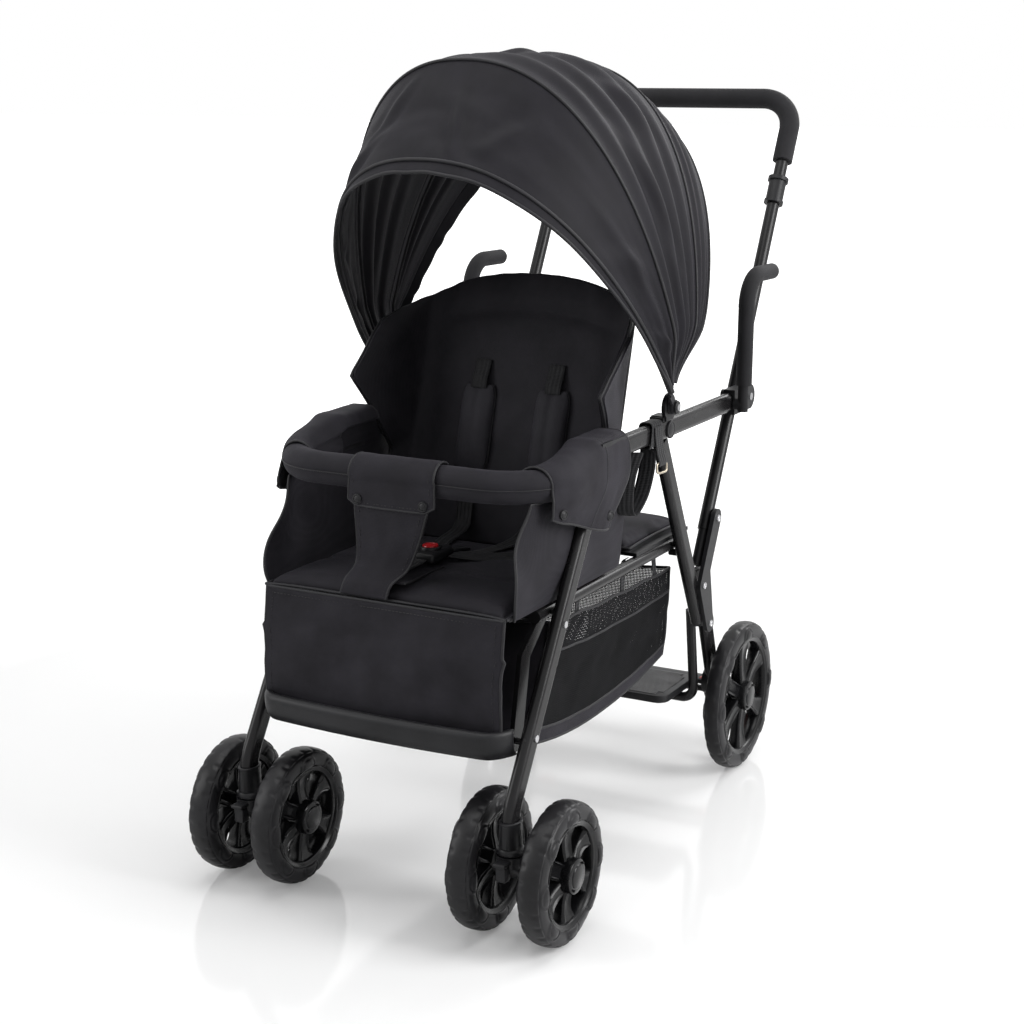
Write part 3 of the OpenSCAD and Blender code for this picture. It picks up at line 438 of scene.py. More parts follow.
def pipes(
    name, lines, radius, material=pipingCloth, body="chassis", closed=False, rounds=2
):
    # round piping or rod along one or more lines of points
    curve = bpy.data.curves.new(name, "CURVE")
    curve.dimensions = "3D"
    curve.bevel_depth = radius * mm
    curve.bevel_resolution = rounds
    curve.use_fill_caps = True
    for points in lines:
        line = curve.splines.new("POLY")
        line.points.add(len(points) - 1)
        for knot, point in zip(line.points, points):
            knot.co = (*point, 1)
        line.use_cyclic_u = closed
    rod = bpy.data.objects.new(name, curve)
    scene.collection.objects.link(rod)
    mesh = bpy.data.meshes.new_from_object(rod.evaluated_get(bpy.context.evaluated_depsgraph_get()))
    bpy.data.objects.remove(rod)
    bm = bmesh.new()
    bm.from_mesh(mesh)
    bpy.data.meshes.remove(mesh)
    faceOut(bm)
    return addPiece(name, bm, material, body, 60)


def stitches(name, lines, lift, dash=3.4, gap=1.8, thread=0.45):
    # a sewn row along each line, as short raised threads
    rows = []
    for points in lines:
        points = [point + Vector(lift) * mm for point in points]
        spent, mark = 0.0, 0.0
        for a, b in zip(points, points[1:]):
            step = (b - a).length / mm
            while mark + dash <= spent + step:
                ends = max(0, mark - spent), mark + dash - spent
                rows.append([a.lerp(b, end / step) for end in ends])
                mark += dash + gap
            spent += step
    return pipes(name, rows, thread, threadBlack, rounds=0)


def padForm(name, shape, cuts, material, body="chassis"):
    # shape(u, v, s) places a closed block's skin: u across, v along, s from back to front
    bm = bmesh.new()
    bmesh.ops.create_cube(bm, size=1)
    bmesh.ops.subdivide_edges(bm, edges=bm.edges[:], cuts=cuts, use_grid_fill=True)
    for v in bm.verts:
        v.co = shape(v.co.x + 0.5, v.co.y + 0.5, v.co.z + 0.5)
    faceOut(bm)
    piece = addPiece(name, bm, material, body)
    return piece


puff = dict(voxel=5, pressure=4, cap=5, quality=5, frames=20)


def puffed(piece, floor):
    # swell the pad with a short cloth simulation, and keep each point near where it began
    remesh = piece.modifiers.new("even mesh", "REMESH")
    remesh.mode = "VOXEL"
    remesh.voxel_size = puff["voxel"] * mm
    even = bpy.data.meshes.new_from_object(piece.evaluated_get(bpy.context.evaluated_depsgraph_get()))
    piece.modifiers.remove(remesh)
    start = [v.co.copy() for v in even.vertices]
    bag = bpy.data.objects.new(piece.name + "Bag", even)
    scene.collection.objects.link(bag)
    cloth = bag.modifiers.new("stuffing", "CLOTH")
    cloth.settings.use_pressure = True
    cloth.settings.uniform_pressure_force = puff["pressure"]
    cloth.settings.effector_weights.gravity = 0
    cloth.settings.quality = puff["quality"]
    for step in range(puff["frames"]):
        scene.frame_set(step + 1)
    full = bag.evaluated_get(bpy.context.evaluated_depsgraph_get()).to_mesh()
    moved = [v.co.copy() for v in full.vertices]
    bag.modifiers.remove(cloth)
    cap = puff["cap"] * mm
    for v, old, new in zip(even.vertices, start, moved):
        step = new - old
        if step.length > cap:
            step *= cap / step.length
        v.co = old + step
        v.co.z = max(v.co.z, floor * mm)
    scene.frame_set(1)
    material = piece.data.materials[0]
    piece.data = even
    bpy.data.objects.remove(bag)
    if not even.materials:
        even.materials.append(material)
    even.shade_smooth()
    return subdivided(piece)


# heights in mm, and distances from the middle for a radius of 1
snapProfile = [
    (2.6, 0), (2.5, 0.35), (1.9, 0.62), (1.5, 0.7), (2.1, 0.78), (1.9, 0.94), (0.8, 1.0), (-0.6, 1.0),
]


def snapCap(place, out, radius=6.5):
    # a pressed snap: a low dome with a rim, facing out
    bm = bmesh.new()
    spun(bm, [(high, far * radius) for high, far in snapProfile], 20, upright=True)
    bmesh.ops.holes_fill(bm, edges=[e for e in bm.edges if e.is_boundary], sides=0)
    faceOut(bm)
    moveBy(bm, Matrix.Translation(place) @ out.to_track_quat("Z", "Y").to_matrix().to_4x4())
    return bm


print("helpers ready")

# canopy: cloth over three bows that turn about the hubs
canopy = dict(
    hubY=365, hubZ=606, square=2.3, lift=4.6, endAngle=2.7, thick=1.5,
    # tilt, reach, half width and half width at the hub
    bows=dict(hem=(-31, 446, 236, 213.9), rear=(-14, 453, 238, 213.9),
              mid=(21, 474, 236, 218.4), front=(40, 424, 224, 222.6)),
    pleat=3.0, crease=2.6, span=1100, fall=210, perRadian=57.3,
    # folds in each panel: from u, w to u, w, then height and half width
    folds=dict(
        canopyRear=[
            (0.46, 0.3, 0.12, 0.45, 4, 13), (0.4, 0.75, 0.08, 0.75, 5, 12), (0.2, 0.2, 0.05, 0.35, 4, 11),
            (0.6, 0.4, 0.9, 0.5, 4, 12), (0.7, 0.75, 0.95, 0.7, 4, 12),
        ],
        canopyMiddle=[
            (0.53, 0.82, 0.07, 0.86, 6, 12), (0.5, 0.6, 0.05, 0.62, 7, 13), (0.46, 0.36, 0.05, 0.4, 6.5, 13),
            (0.4, 0.16, 0.06, 0.2, 5, 11), (0.5, 0.7, 0.4, 0.45, 4, 9), (0.33, 0.5, 0.24, 0.3, 4, 9),
            (0.27, 0.74, 0.14, 0.5, 4, 9), (0.56, 0.8, 0.94, 0.84, 5, 12), (0.6, 0.55, 0.95, 0.6, 6, 12),
            (0.64, 0.3, 0.94, 0.36, 5, 12),
        ],
        canopyFront=[
            (0.79, 0.97, 0.84, 0.5, 4, 11), (0.71, 0.98, 0.67, 0.55, 4.5, 11),
            (0.67, 0.58, 0.61, 0.12, 4, 12), (0.65, 0.62, 0.73, 0.96, 3, 9), (0.79, 0.3, 0.84, 0.72, 3.5, 10),
            (0.74, 0.2, 0.77, 0.7, 3, 10),
            (0.42, 0.95, 0.47, 0.35, 4.5, 15), (0.37, 0.8, 0.31, 0.3, 3, 14), (0.88, 0.9, 0.9, 0.2, 4, 10),
            (0.2, 0.85, 0.16, 0.2, 3.5, 12), (0.11, 0.8, 0.07, 0.2, 4, 10),
        ],
    ),
)


def foldHeight(name, u, w):
    total = 0.0
    span, fall = canopy["span"], canopy["fall"]
    for u0, w0, u1, w1, high, wide in canopy["folds"][name]:
        run = Vector(((u1 - u0) * span, (w1 - w0) * fall))
        here = Vector(((u - u0) * span, (w - w0) * fall))
        k = unit(here.dot(run) / run.length_squared)
        away = (here - run * k).length / wide
        total += high * (bell(away) - 0.35 * bell(away - 1.7)) * arch(mix(0.1, 0.92, k))
    return total


def bowPoint(bow, angle, grow=0.0):
    # a bow is half a squared ellipse about the hub, drawn in to the hub at its ends
    tilt, reach, half, base = bow
    power = 2 / canopy["square"]
    rise = max(0.0, math.sin(angle)) ** power
    tuck = (half - base) * (1 - smooth(28, 118, reach * rise))
    x = (half + grow) * bent(math.cos(angle), power) - math.copysign(tuck, math.cos(angle))
    h = (reach + grow) * rise
    rear = canopy["bows"]["rear"][0]
    if tilt < rear:
        tilt = rear + (tilt - rear) * mix(0.15, 1, smooth(10, 150, h))
    tilt = math.radians(tilt)
    return at(x, canopy["hubY"] - h * math.sin(tilt), canopy["hubZ"] + h * math.cos(tilt))


def bowAngle(u):
    # u from 0, at the left hub, to 1; points lie closer together round the corners
    end = math.radians(canopy["endAngle"])
    return end + (math.pi - 2 * end) * (u - 0.09 * wave(2 * u) / 2)


def canopyPanel(name, first, last, dip, creases, body, node, seed):
    ends = canopy["bows"][first], canopy["bows"][last]

    def shape(u, w):
        a = bowAngle(u)
        up = math.sin(a)
        middle = arch(w)
        bow = [mix(p, q, w) for p, q in zip(*ends)]
        bow[1] -= dip * middle * up**2
        low = (1 - up) ** 1.2
        pleats = canopy["pleat"] * low * middle * wave(2.5 * w + 0.4 * fuzz(u * 3, w * 2, seed) + 0.1)
        fold = canopy["crease"] * creases * middle**0.5 * (
            fuzz(u * 5 + w * 2.2, w * 3.4 - u * 1.5, seed + 4) + 0.45 * fuzz(u * 11, w * 7, seed + 9)
        )
        fold += foldHeight(name, u, w) * min(1, 3 * middle)
        return bowPoint(bow, a, canopy["lift"] + pleats + fold)

    piece = clothSheet(
        name, shape, (150, 34), canopyCloth, canopy["thick"], body
    )
    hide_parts(node)
    return piece


canopyPanel("canopyRear", "hem", "rear", 4, 0.9, "chassis", "canopy_rear_panel", 3.0)
middlePanel = canopyPanel(
    "canopyMiddle", "rear", "mid", 10, 1.0, None, "canopy_mid_panel", 7.0
)
frontPanel = canopyPanel(
    "canopyFront", "mid", "front", 9, 1.1, None, "canopy_front_panel", 11.0
)
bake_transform(middlePanel)
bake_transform(frontPanel)

seamLift = canopy["lift"] + 1.2
seams = dict(
    hem=("chassis", 1.8), rear=("chassis", 1.7), mid=("canopy_mid", 2.3), front=("canopy_front", 2.6)
)
for key, (body, radius) in seams.items():
    line = [bowPoint(canopy["bows"][key], bowAngle(k / 120), seamLift) for k in range(121)]
    pipes("canopySeam" + key.title(), [line], radius, pipingCloth, body)

# the bound front hem hangs a little below the front bow
hemStyle = dict(drop=18, roll=2.2)


def frontHem(u, w):
    tilt, reach, half, base = canopy["bows"]["front"]
    bow = (tilt + w * hemStyle["drop"] / reach * canopy["perRadian"], reach - 2 * w, half - w, base)
    return bowPoint(bow, bowAngle(u), canopy["lift"] + 0.8 * wave(u * 9) * w)


clothSheet(
    "canopyHem", frontHem, (110, 4), canopyCloth,
    body="canopy_front",
)
hemLine = edgeOf(frontHem, (0, 1), (1, 1), 120)
pipes("canopyHemBinding", [hemLine], hemStyle["roll"], pipingCloth, "canopy_front")

# the rear hem is drawn in by elastic, so its edge ruffles
ruffle = dict(width=24, depth=0.9, count=40, thick=1.2)


def rearHem(u, w):
    tilt, reach, half, base = canopy["bows"]["hem"]
    bow = (tilt - w * ruffle["width"] / reach * canopy["perRadian"], reach - 10 * w, half - 8 * w, base)
    gather = ruffle["depth"] * w * wave(ruffle["count"] * u + 1.2 * fuzz(u * 18, 3)) * (1 + fuzz(u * 30, 7))
    return bowPoint(bow, bowAngle(u), canopy["lift"] - 2 * w + gather)


clothSheet(
    "canopyRuffle", rearHem, (300, 5), canopyCloth, ruffle["thick"],
)
print("canopy hung")

# seat group: cushion, side panels, apron and the padded bar
seat = dict(half=174, front=-6, back=268, base=398.9, high=22.5, edge=9, overhang=8, piping=2.2,
            channels=(0.36, 0.7), channelDeep=2.2, uneven=1.2)


def pillow(u, v, power=0.42):
    return (max(0, arch(u)) * max(0, arch(v))) ** power


def drawnIn(u, v):
    # the sides of a cushion pull in between its corners
    return 4 * arch(v) * (0.5 - u) * 2 * abs(2 * u - 1) ** 6


def seatShape(u, v, s):
    x = (2 * u - 1) * seat["half"] + drawnIn(u, v)
    corner = seat["overhang"] * abs(2 * u - 1) ** 8
    y = mix(seat["front"] - corner * (1 - v) ** 3, seat["back"], v)
    channel = sum(seat["channelDeep"] * bell((v - place) * 40) for place in seat["channels"])
    rise = seat["edge"] + (seat["high"] - seat["edge"]) * pillow(u, v) - channel * (s > 0.5)
    rise += seat["uneven"] * fuzz(u * 7, v * 6, 2.0) * pillow(u, v)
    return at(x, y, seat["base"] + rise * s)


cushion = padForm("seatCushion", seatShape, 30, padCloth)
puffed(cushion, seat["base"])
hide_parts("seat_cushion")
edges = [
    edgeOf(seatShape, (0, 0, 0.55), (1, 0, 0.55), 60),
    edgeOf(seatShape, (1, 0, 0.55), (1, 1, 0.55), 40),
    edgeOf(seatShape, (0, 0, 0.55), (0, 1, 0.55), 40),
]
pipes("seatPiping", edges, seat["piping"])

sidePanel = dict(
    foot=177.5, lowFront=0, topFront=46, sweep=16, back=292, low=399.5, high=533, rise=39, bulge=9, thick=4,
    tuck=26, fold=3.0, ripple=2.2, crease=1.5, tight=(190, 181.2), piping=2.0,
)


def sideShape(sign):
    def shape(u, v, s):
        lean = smooth(0, 1, v)
        front = mix(sidePanel["lowFront"], sidePanel["topFront"], lean) - sidePanel["sweep"] * arch(v)
        y = mix(front, sidePanel["back"] + 10 * v, u)
        full = arch(v) ** 0.7
        x = sidePanel["foot"] + 3 * lean + sidePanel["bulge"] * full * (1 - 0.55 * u)
        rise = sidePanel["rise"] * smooth(150, 178, y)
        # the upper front corner turns in below the bar's bend
        x -= sidePanel["tuck"] * smooth(62, 8, y) * lean
        fold = sidePanel["fold"] * fuzz(u * 4 + sign, v * 3, 5.0)
        fold += sidePanel["ripple"] * wave(2.2 * u + 0.9 * v) * (1 - u)
        x += fold * full - sidePanel["crease"] * full * bell((u - 0.5) * 18)
        x -= (s - 0.5) * sidePanel["thick"] * (0.35 + 0.65 * pillow(u, v, 0.3))
        tight = mix(*sidePanel["tight"], smooth(0.6, 1, v) * smooth(130, 165, y))
        return at(sign * min(x, tight - 3 * s), y, mix(sidePanel["low"], sidePanel["high"] + rise, v))

    return shape


for sign, label in sides:
    shape = sideShape(sign)
    panel = subdivided(padForm("seatSide" + label, shape, 22, padCloth))
    if sign > 0:
        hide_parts("seat_sides")
    edge = edgeOf(shape, (0, 0, 0.5), (0, 1, 0.5), 30) + edgeOf(shape, (0, 1, 0.5), (1, 1, 0.5), 24)[1:]
    pipes("seatSidePiping" + label, [edge], sidePanel["piping"])

apron = dict(
    top=402, low=247, half=172, lowHalf=171, front=-14, reach=17, corner=20, notch=0.3, notchOut=3.5,
    bow=10, belly=5, fold=4.2, ripple=1.6, pull=2.6, pucker=1.6, thick=3.2, piping=1.9,
)


def apronShape(u, w):
    side = 2 * u - 1
    low = max(0, (w - 0.86) / 0.14)
    half = mix(apron["half"], apron["lowHalf"], w) - apron["corner"] * (1 - math.sqrt(max(0, 1 - low * low)))
    half += apron["notchOut"] * bell((w - apron["notch"]) * 16) * (w > apron["notch"])
    y = apron["front"] - apron["reach"] * w + apron["bow"] * w * side * side
    belly = arch(min(1, w * 1.02))
    fold = apron["fold"] * belly * fuzz(u * 3.2 + w, w * 2.2, 8.0)
    fold += apron["ripple"] * belly * wave(1.6 * u + 0.3 * w)
    pull = apron["pull"] * fuzz(u * 9 - w * 5, w * 6 + u * 2, 1.0) * belly
    # puckers under the top seam
    pull += apron["pucker"] * fuzz(u * 22, w * 3, 4.0) * math.exp(-w * 9) * smooth(0, 0.03, w)
    return at(side * half, y - fold - pull - apron["belly"] * belly, mix(apron["top"], apron["low"], w))


panel = clothSheet("calfApron", apronShape, (64, 34), seatCloth, apron["thick"])
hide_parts("calf_panel")
edges = [edgeOf(apronShape, (u, 0), (u, 1), 34) for u in (0, 1)]
edges += [edgeOf(apronShape, (0, w), (1, w), 60) for w in (1, 0)]
pipes("apronPiping", edges, apron["piping"])
sewn = [edgeOf(apronShape, (u, 0.04), (u, 0.96), 40) for u in (0.03, 0.97)]
sewn += [edgeOf(apronShape, (0.035, w), (0.965, w), 60) for w in (0.045, 0.955)]
stitches("apronStitch", sewn, (0, -2.0, 0))

bumper = dict(half=188, front=34, z=552, radius=21, corner=74, end=164, seam=0.7, uneven=0.7, groove=1.3)


def bumperLine(steps=16):
    half, corner, front, z = bumper["half"], bumper["corner"], bumper["front"], bumper["z"]
    line = [at(-half, mix(bumper["end"], front + corner, k / 4), z) for k in range(4)]
    for k in range(steps + 1):
        a = math.pi / 2 * k / steps
        line.append(at(-half + corner * (1 - math.cos(a)), front + corner * (1 - math.sin(a)), z))
    flipped = [Vector((-p.x, p.y, p.z)) for p in reversed(line)]
    middle = [at(mix(-half + corner, half - corner, k / 12), front, z) for k in range(1, 12)]
    return line + middle + flipped


bumperPath = bumperLine()


def bumperFrame(w):
    ahead = onPath(bumperPath, min(1, w + 0.01)) - onPath(bumperPath, max(0, w - 0.01))
    return onPath(bumperPath, w), ahead.normalized().cross(Vector((0, 0, 1))).normalized()


def bumperShape(u, w):
    place, out = bumperFrame(w)
    a = 2 * math.pi * u
    swell = bumper["radius"] + bumper["uneven"] * fuzz(w * 24, math.cos(a) * 1.5, math.sin(a) * 1.5)
    swell -= bumper["groove"] * bell((math.cos(a) - 1) * 40)
    return place + (out * math.cos(a) + Vector((0, 0, 1)) * math.sin(a)) * swell * mm


bm = gridOf(bumperShape, (28, 120))
bmesh.ops.remove_doubles(bm, verts=bm.verts[:], dist=0.0004)
bmesh.ops.holes_fill(bm, edges=[e for e in bm.edges if e.is_boundary], sides=0)
faceOut(bm)
bar = subdivided(addPiece("bumperSleeve", bm, padCloth, "chassis", 60))
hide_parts("bumper_bar")
seamLine = []
for k in range(121):
    place, out = bumperFrame(k / 120)
    seamLine.append(place + out * (bumper["radius"] - 0.5) * mm)
pipes("bumperSeam", [seamLine], bumper["seam"])
print("seat dressed")

# crotch panel and its snap-on flap over the padded bar
crotch = dict(flapHalf=60, flapLow=516, flapOut=3.2, turn=(-40, 178), over=0.7, flapThick=2.4, binding=1.6,
              panelTop=53, panelLow=33, drift=30, lowY=-6, lowZ=414, panelThick=3.0, piping=1.9)


def flapShape(u, w):
    side = 2 * u - 1
    reach = bumper["radius"] + crotch["flapOut"] + 0.9 * fuzz(u * 6, w * 5, 3.0)
    x = side * crotch["flapHalf"] * (1 - 0.03 * math.cos(math.pi * w))
    if w < crotch["over"]:
        a = math.radians(mix(*crotch["turn"], w / crotch["over"]))
        return at(x, bumper["front"] + reach * math.cos(a), bumper["z"] + reach * math.sin(a))
    k = (w - crotch["over"]) / (1 - crotch["over"])
    curl = 3 * k * (1 - side * side) + 2 * k
    corner = 7 * max(0, abs(side) - 0.8) / 0.2 * k**3
    return at(x, bumper["front"] - reach - curl + 2, mix(bumper["z"], crotch["flapLow"], k) + corner)


flap = clothSheet(
    "bumperFlap", flapShape, (26, 40), seatCloth, crotch["flapThick"]
)
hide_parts("crotch_flap")
flapEdge = edgeOf(flapShape, (0, 0.3), (0, 1), 24)
flapEdge += edgeOf(flapShape, (0, 1), (1, 1), 24)[1:] + edgeOf(flapShape, (1, 1), (1, 0.3), 24)[1:]
pipes("bumperFlapBinding", [flapEdge], crotch["binding"])
sewn = [edgeOf(flapShape, (u, 0.35), (u, 0.95), 30) for u in (0.05, 0.95)]
sewn = [[point + Vector((0, 0, 0.2)) * mm for point in line] for line in sewn]
sewn.append(edgeOf(flapShape, (0.06, 0.965), (0.94, 0.965), 30))
stitches("bumperFlapStitch", sewn, (0, -1.6, 0))

belowBar = (18, 16), (21, 40), (18, 78), (20, 112)
crotchLine = [at(0, bumper["front"] - y, bumper["z"] - z) for y, z in belowBar]
crotchLine += [at(0, crotch["lowY"], crotch["lowZ"] + 10), at(0, crotch["lowY"] - 5, crotch["lowZ"] - 8)]


def crotchShape(u, w):
    side = 2 * u - 1
    waist = 1 - 0.05 * arch(smooth(0, 1, w))
    half = mix(crotch["panelTop"], crotch["panelLow"], smooth(0.1, 0.9, w)) * waist
    belly = (5 * arch(w) + 2.4 * fuzz(u * 4, w * 5, 6.0) * arch(w)) * (1 - side**2)
    return onPath(crotchLine, w) + Vector((side * half - crotch["drift"] * smooth(0, 1.1, w), -belly, 0)) * mm


clothSheet(
    "crotchPanel", crotchShape, (24, 36), seatCloth,
    crotch["panelThick"],
)
pipes("crotchPiping", [edgeOf(crotchShape, (u, 0), (u, 1), 36) for u in (0, 1)], crotch["piping"])
sewn = [edgeOf(crotchShape, (u, 0.06), (u, 0.94), 40) for u in (0.07, 0.93)]
stitches("crotchStitch", sewn, (0, -1.9, 0))

snaps = bmesh.new()
for u in (0.12, 0.88):
    joinInto(snaps, snapCap(flapShape(u, 0.93) + Vector((0, -1.4, 0)) * mm, Vector((0, -1, 0.05))))

# arm flaps fold over the ends of the bar and the elbows behind it, and hang outside them
armFlap = dict(
    front=62, back=238, lowBack=176, lowFront=510, lowRear=481, out=3.2, swing=158, thick=2.0,
    elbow=(64, 160, 4.6, 18), binding=1.7, seam=0.7, seamAt=0.62,
)


def armFlapShape(sign):
    def shape(u, w):
        hang = max(0, (w - 0.5) / 0.5)
        y = mix(armFlap["front"] - 8 * hang, mix(armFlap["back"], armFlap["lowBack"], smooth(0, 1, hang)), u)
        first, last, wider, taller = armFlap["elbow"]
        over = unit((y - first) / (last - first))
        crease = 1.1 * fuzz(u * 5, w * 4, sign * 2.0) + 0.5 * fuzz(u * 13, w * 8, sign * 5.0)
        reach = bumper["radius"] + armFlap["out"] + crease
        swing = math.radians(mix(armFlap["swing"], 0, min(1, w / 0.5)))
        square = mix(1, 0.5, over**3)
        x = bumper["half"] + (reach + wider * over) * bent(math.cos(swing), square)
        z = bumper["z"] + (reach + taller * over) * max(0, math.sin(swing)) ** square
        inset = unit((bumper["front"] + bumper["corner"] - y) / bumper["corner"])
        x -= (bumper["corner"] - 40 * hang) * (1 - math.sqrt(1 - inset * inset))
        if hang:
            low = mix(armFlap["lowFront"], armFlap["lowRear"], smooth(0, 1, u))
            z = mix(bumper["z"], low, hang) + 5 * hang**3 * max(0, 1 - 9 * u)
            x += 2.5 * arch(hang) + 2.2 * wave(1.3 * u + 0.2) * hang - 3 * hang * (1 - u)
        return at(sign * x, y, z)

    return shape


for sign, label in sides:
    shape = armFlapShape(sign)
    flap = clothSheet(
        "armFlap" + label, shape, (44, 34), seatCloth, armFlap["thick"]
    )
    if sign > 0:
        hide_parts("arm_flaps")
    edge = edgeOf(shape, (0, 0), (0, 1), 24)
    edge += edgeOf(shape, (0, 1), (1, 1), 24)[1:] + edgeOf(shape, (1, 1), (1, 0), 24)[1:]
    pipes("armFlapBinding" + label, [edge], armFlap["binding"])
    seam = edgeOf(shape, (armFlap["seamAt"], 0.2), (armFlap["seamAt"], 1), 24)
    seam = [point + Vector((sign * 0.9, 0, 0.3)) * mm for point in seam]
    pipes("armFlapSeam" + label, [seam], armFlap["seam"])
    for u in (0.1, 0.9):
        joinInto(snaps, snapCap(shape(u, 0.88) + Vector((sign * 1.2, 0, 0)) * mm, Vector((sign, -0.3, 0))))
addPlastic("snapCaps", snaps)
print("flaps folded")

# backrest: one padded shell whose wings turn forward round the child
back = dict(
    pivotY=292, pivotZ=382, lean=16, length=398, half=152, wing=150, bend=0.16, thick=16, crown=5,
    low=24, drop=88, seam=0.58, gather=1.6, groove=3.4, uneven=2.2, fine=1.6, slack=2.6, piping=2.3,
    collar=0.87, collarGroove=4, collarDrop=2.5,
)


def leaned(x, y, z):
    # from the backrest's own upright frame to its place behind the seat
    a = math.radians(back["lean"])
    return at(
        x,
        back["pivotY"] + y * math.cos(a) + z * math.sin(a),
        back["pivotZ"] - y * math.sin(a) + z * math.cos(a),
    )


def wingReach(v):
    # straight edges to a corner at about two thirds of the height
    return 0.27 + 0.73 * unit((v - 0.4) / 0.3) - 0.4 * max(0, (v - 0.7) / 0.3)


def backShape(u, v, s):
    side = 2 * u - 1
    straight = 1 - 2 * back["bend"]
    flare = max(0, abs(side) - straight) / (2 * back["bend"])
    crest = back["length"] - back["drop"] * abs(side) ** 2.4
    full = pillow(u, v, 0.45)
    groove = back["groove"] * bell((abs(side) - back["seam"]) * 34) * smooth(0.02, 0.1, v)
    collar = back["collarGroove"] * bell((v - back["collar"]) * 40)
    collar -= back["collarDrop"] * smooth(back["collar"], 0.9, v)
    groove += collar * (1 - smooth(0.5, 0.62, abs(side)))
    uneven = back["uneven"] * fuzz(u * 6, v * 6, 4.0) + back["fine"] * fuzz(u * 17, v * 13, 9.0)
    crown = s * (back["thick"] + (back["crown"] + uneven) * full - groove)
    gather = back["gather"] * smooth(0.9, 1, v) * wave(15 * u) * (1 - flare)
    slack = back["slack"] * flare * fuzz(v * 7, side * 2, 8.0)
    across = min(abs(side) / straight, 1) * back["half"]
    return leaned(
        math.copysign(1, side) * (across + flare * (28 + 12 * smooth(0.5, 0.75, v)) - s * flare * 9 + slack),
        3.6 - flare * back["wing"] * wingReach(v) - crown * (1 - 0.75 * flare) + gather,
        back["low"] + (crest - back["low"]) * v,
    )


# the backrest wears the pad cloth lightened as painted light
shell = subdivided(padForm("backrestPad", backShape, 44, backLitCloth, "backrest"))
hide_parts("backrest_pad")
edges = [edgeOf(backShape, (u, 0, 0.5), (u, 1, 0.5), 40) for u in (0, 1)]
edges.append(edgeOf(backShape, (0, 1, 0.5), (1, 1, 0.5), 80))
pipes("backrestPiping", edges, back["piping"], body="backrest")
print("backrest padded")

# five-point harness: two shoulder pads, webbing and the buckle on the seat
harness = dict(
    x=57, padLow=120, padHigh=240, padHalf=25, padBack=-17.5, padEdge=5, padCrown=9, piping=1.3, web=25,
)


def shoulderShape(sign):
    def shape(u, v, s):
        ends = 1 - 0.22 * abs(2 * v - 1) ** 8
        x = sign * harness["x"] + (2 * u - 1) * harness["padHalf"] * ends
        swell = harness["padEdge"] + harness["padCrown"] * pillow(u, v, 0.5) - 2 * bell((u - 0.5) * 9)
        return leaned(x, harness["padBack"] - s * swell, mix(harness["padLow"], harness["padHigh"], v))

    return shape


alongX = Vector((1, 0, 0))
for sign, label in sides:
    shape = shoulderShape(sign)
    # the shoulder pads wear the pad cloth lightened as painted sheen
    pad = subdivided(padForm("shoulderPad" + label, shape, 14, shoulderSheenPaintedCloth, "backrest"))
    if sign > 0:
        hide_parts("shoulder_pads")
    rim = aroundOf(shape, 0.3, 10, 20)
    pipes("shoulderPiping" + label, [rim], harness["piping"], body="backrest", closed=True)
    x = sign * harness["x"]
    strap(
        "shoulderWeb" + label,
        [leaned(x, y, z) for y, z in ((-19, 276), (-21, 262), (-25, 246), (-25, 234))],
        harness["web"], alongX, 14, "backrest",
    )
    web = strap(
        "chestWeb" + label,
        [leaned(x, -22, 128), leaned(x, -24, 112), leaned(x * 0.96, -24, 70), at(x * 0.85, 266, 432),
         at(x * 0.75, 215, 427), at(sign * 26, 160, 428), at(sign * 16, 132, 434)],
        harness["web"], alongX, 40, None,
    )
    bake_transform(web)
    waist = [(160, 246, 452), (148, 232, 436), (110, 200, 427.5), (64, 160, 428), (22, 122, 436)]
    strap(
        "waistWeb" + label, [at(sign * x, y, z) for x, y, z in waist], harness["web"],
        (Vector((0, 0.35, 0.9)), Vector((0.2 * sign, 0.95, 0.1))), 36,
    )
strap(
    "crotchWeb", [at(0, 84, 438), at(0, 66, 436), at(-4, 44, 432.5), at(-10, 14, 431.5)],
    harness["web"], alongX, 20,
)

tongue = dict(
    front=4, back=92, low=423, wide=(38, 25), drift=-16, edge=3.5, crown=3.5, uneven=0.8, piping=1.7,
)


def tongueShape(u, v, s):
    x = mix(tongue["drift"], 0, v) + (2 * u - 1) * mix(*tongue["wide"], smooth(0, 1, v))
    rise = tongue["edge"] + tongue["crown"] * pillow(u, v) + tongue["uneven"] * fuzz(u * 4, v * 4, 5.0)
    return at(x, mix(tongue["front"], tongue["back"], v), tongue["low"] + s * rise)


subdivided(padForm("crotchTongue", tongueShape, 12, seatCloth))
pipes("crotchTonguePiping", [aroundOf(tongueShape, 0.6, 10, 20)[10:]], tongue["piping"])

buckle = dict(
    half=22, taper=0.8, back=134, front=74, low=430.8, top=444.8, high=449, bevel=5, button=10.5,
    clipX=13, clipSpread=8, clipReach=(-4, 24), clipZ=438, clipDrop=3,
    clipWide=16, clipThick=5, clipBevel=1.6,
    bezel=[(444, 11.3), (448, 11.3), (448.5, 12), (448, 13.6), (446.5, 14.4), (444, 14.4)],
)


def buckleShape(u, v, s):
    half = buckle["half"] * (buckle["taper"] if v > 0.5 else 1)
    z = mix(buckle["low"], buckle["top"], s)
    return at((2 * u - 1) * half, mix(buckle["front"], buckle["back"], v), z)


def buckleBody():
    bm = bmesh.new()
    bevelled(bm, addBlock(bm, buckleShape), buckle["bevel"], 3)
    for side in (-1, 1):  # the two tongues that clip in from the waist and shoulder webbing

        def clip(u, v, s):
            x = side * (buckle["clipX"] + buckle["clipSpread"] * v) + (u - 0.5) * buckle["clipWide"]
            z = buckle["clipZ"] - buckle["clipDrop"] * v + (s - 0.5) * buckle["clipThick"]
            return at(x, buckle["back"] + mix(*buckle["clipReach"], v), z)

        bevelled(bm, addBlock(bm, clip), buckle["clipBevel"], 2)
    return bm


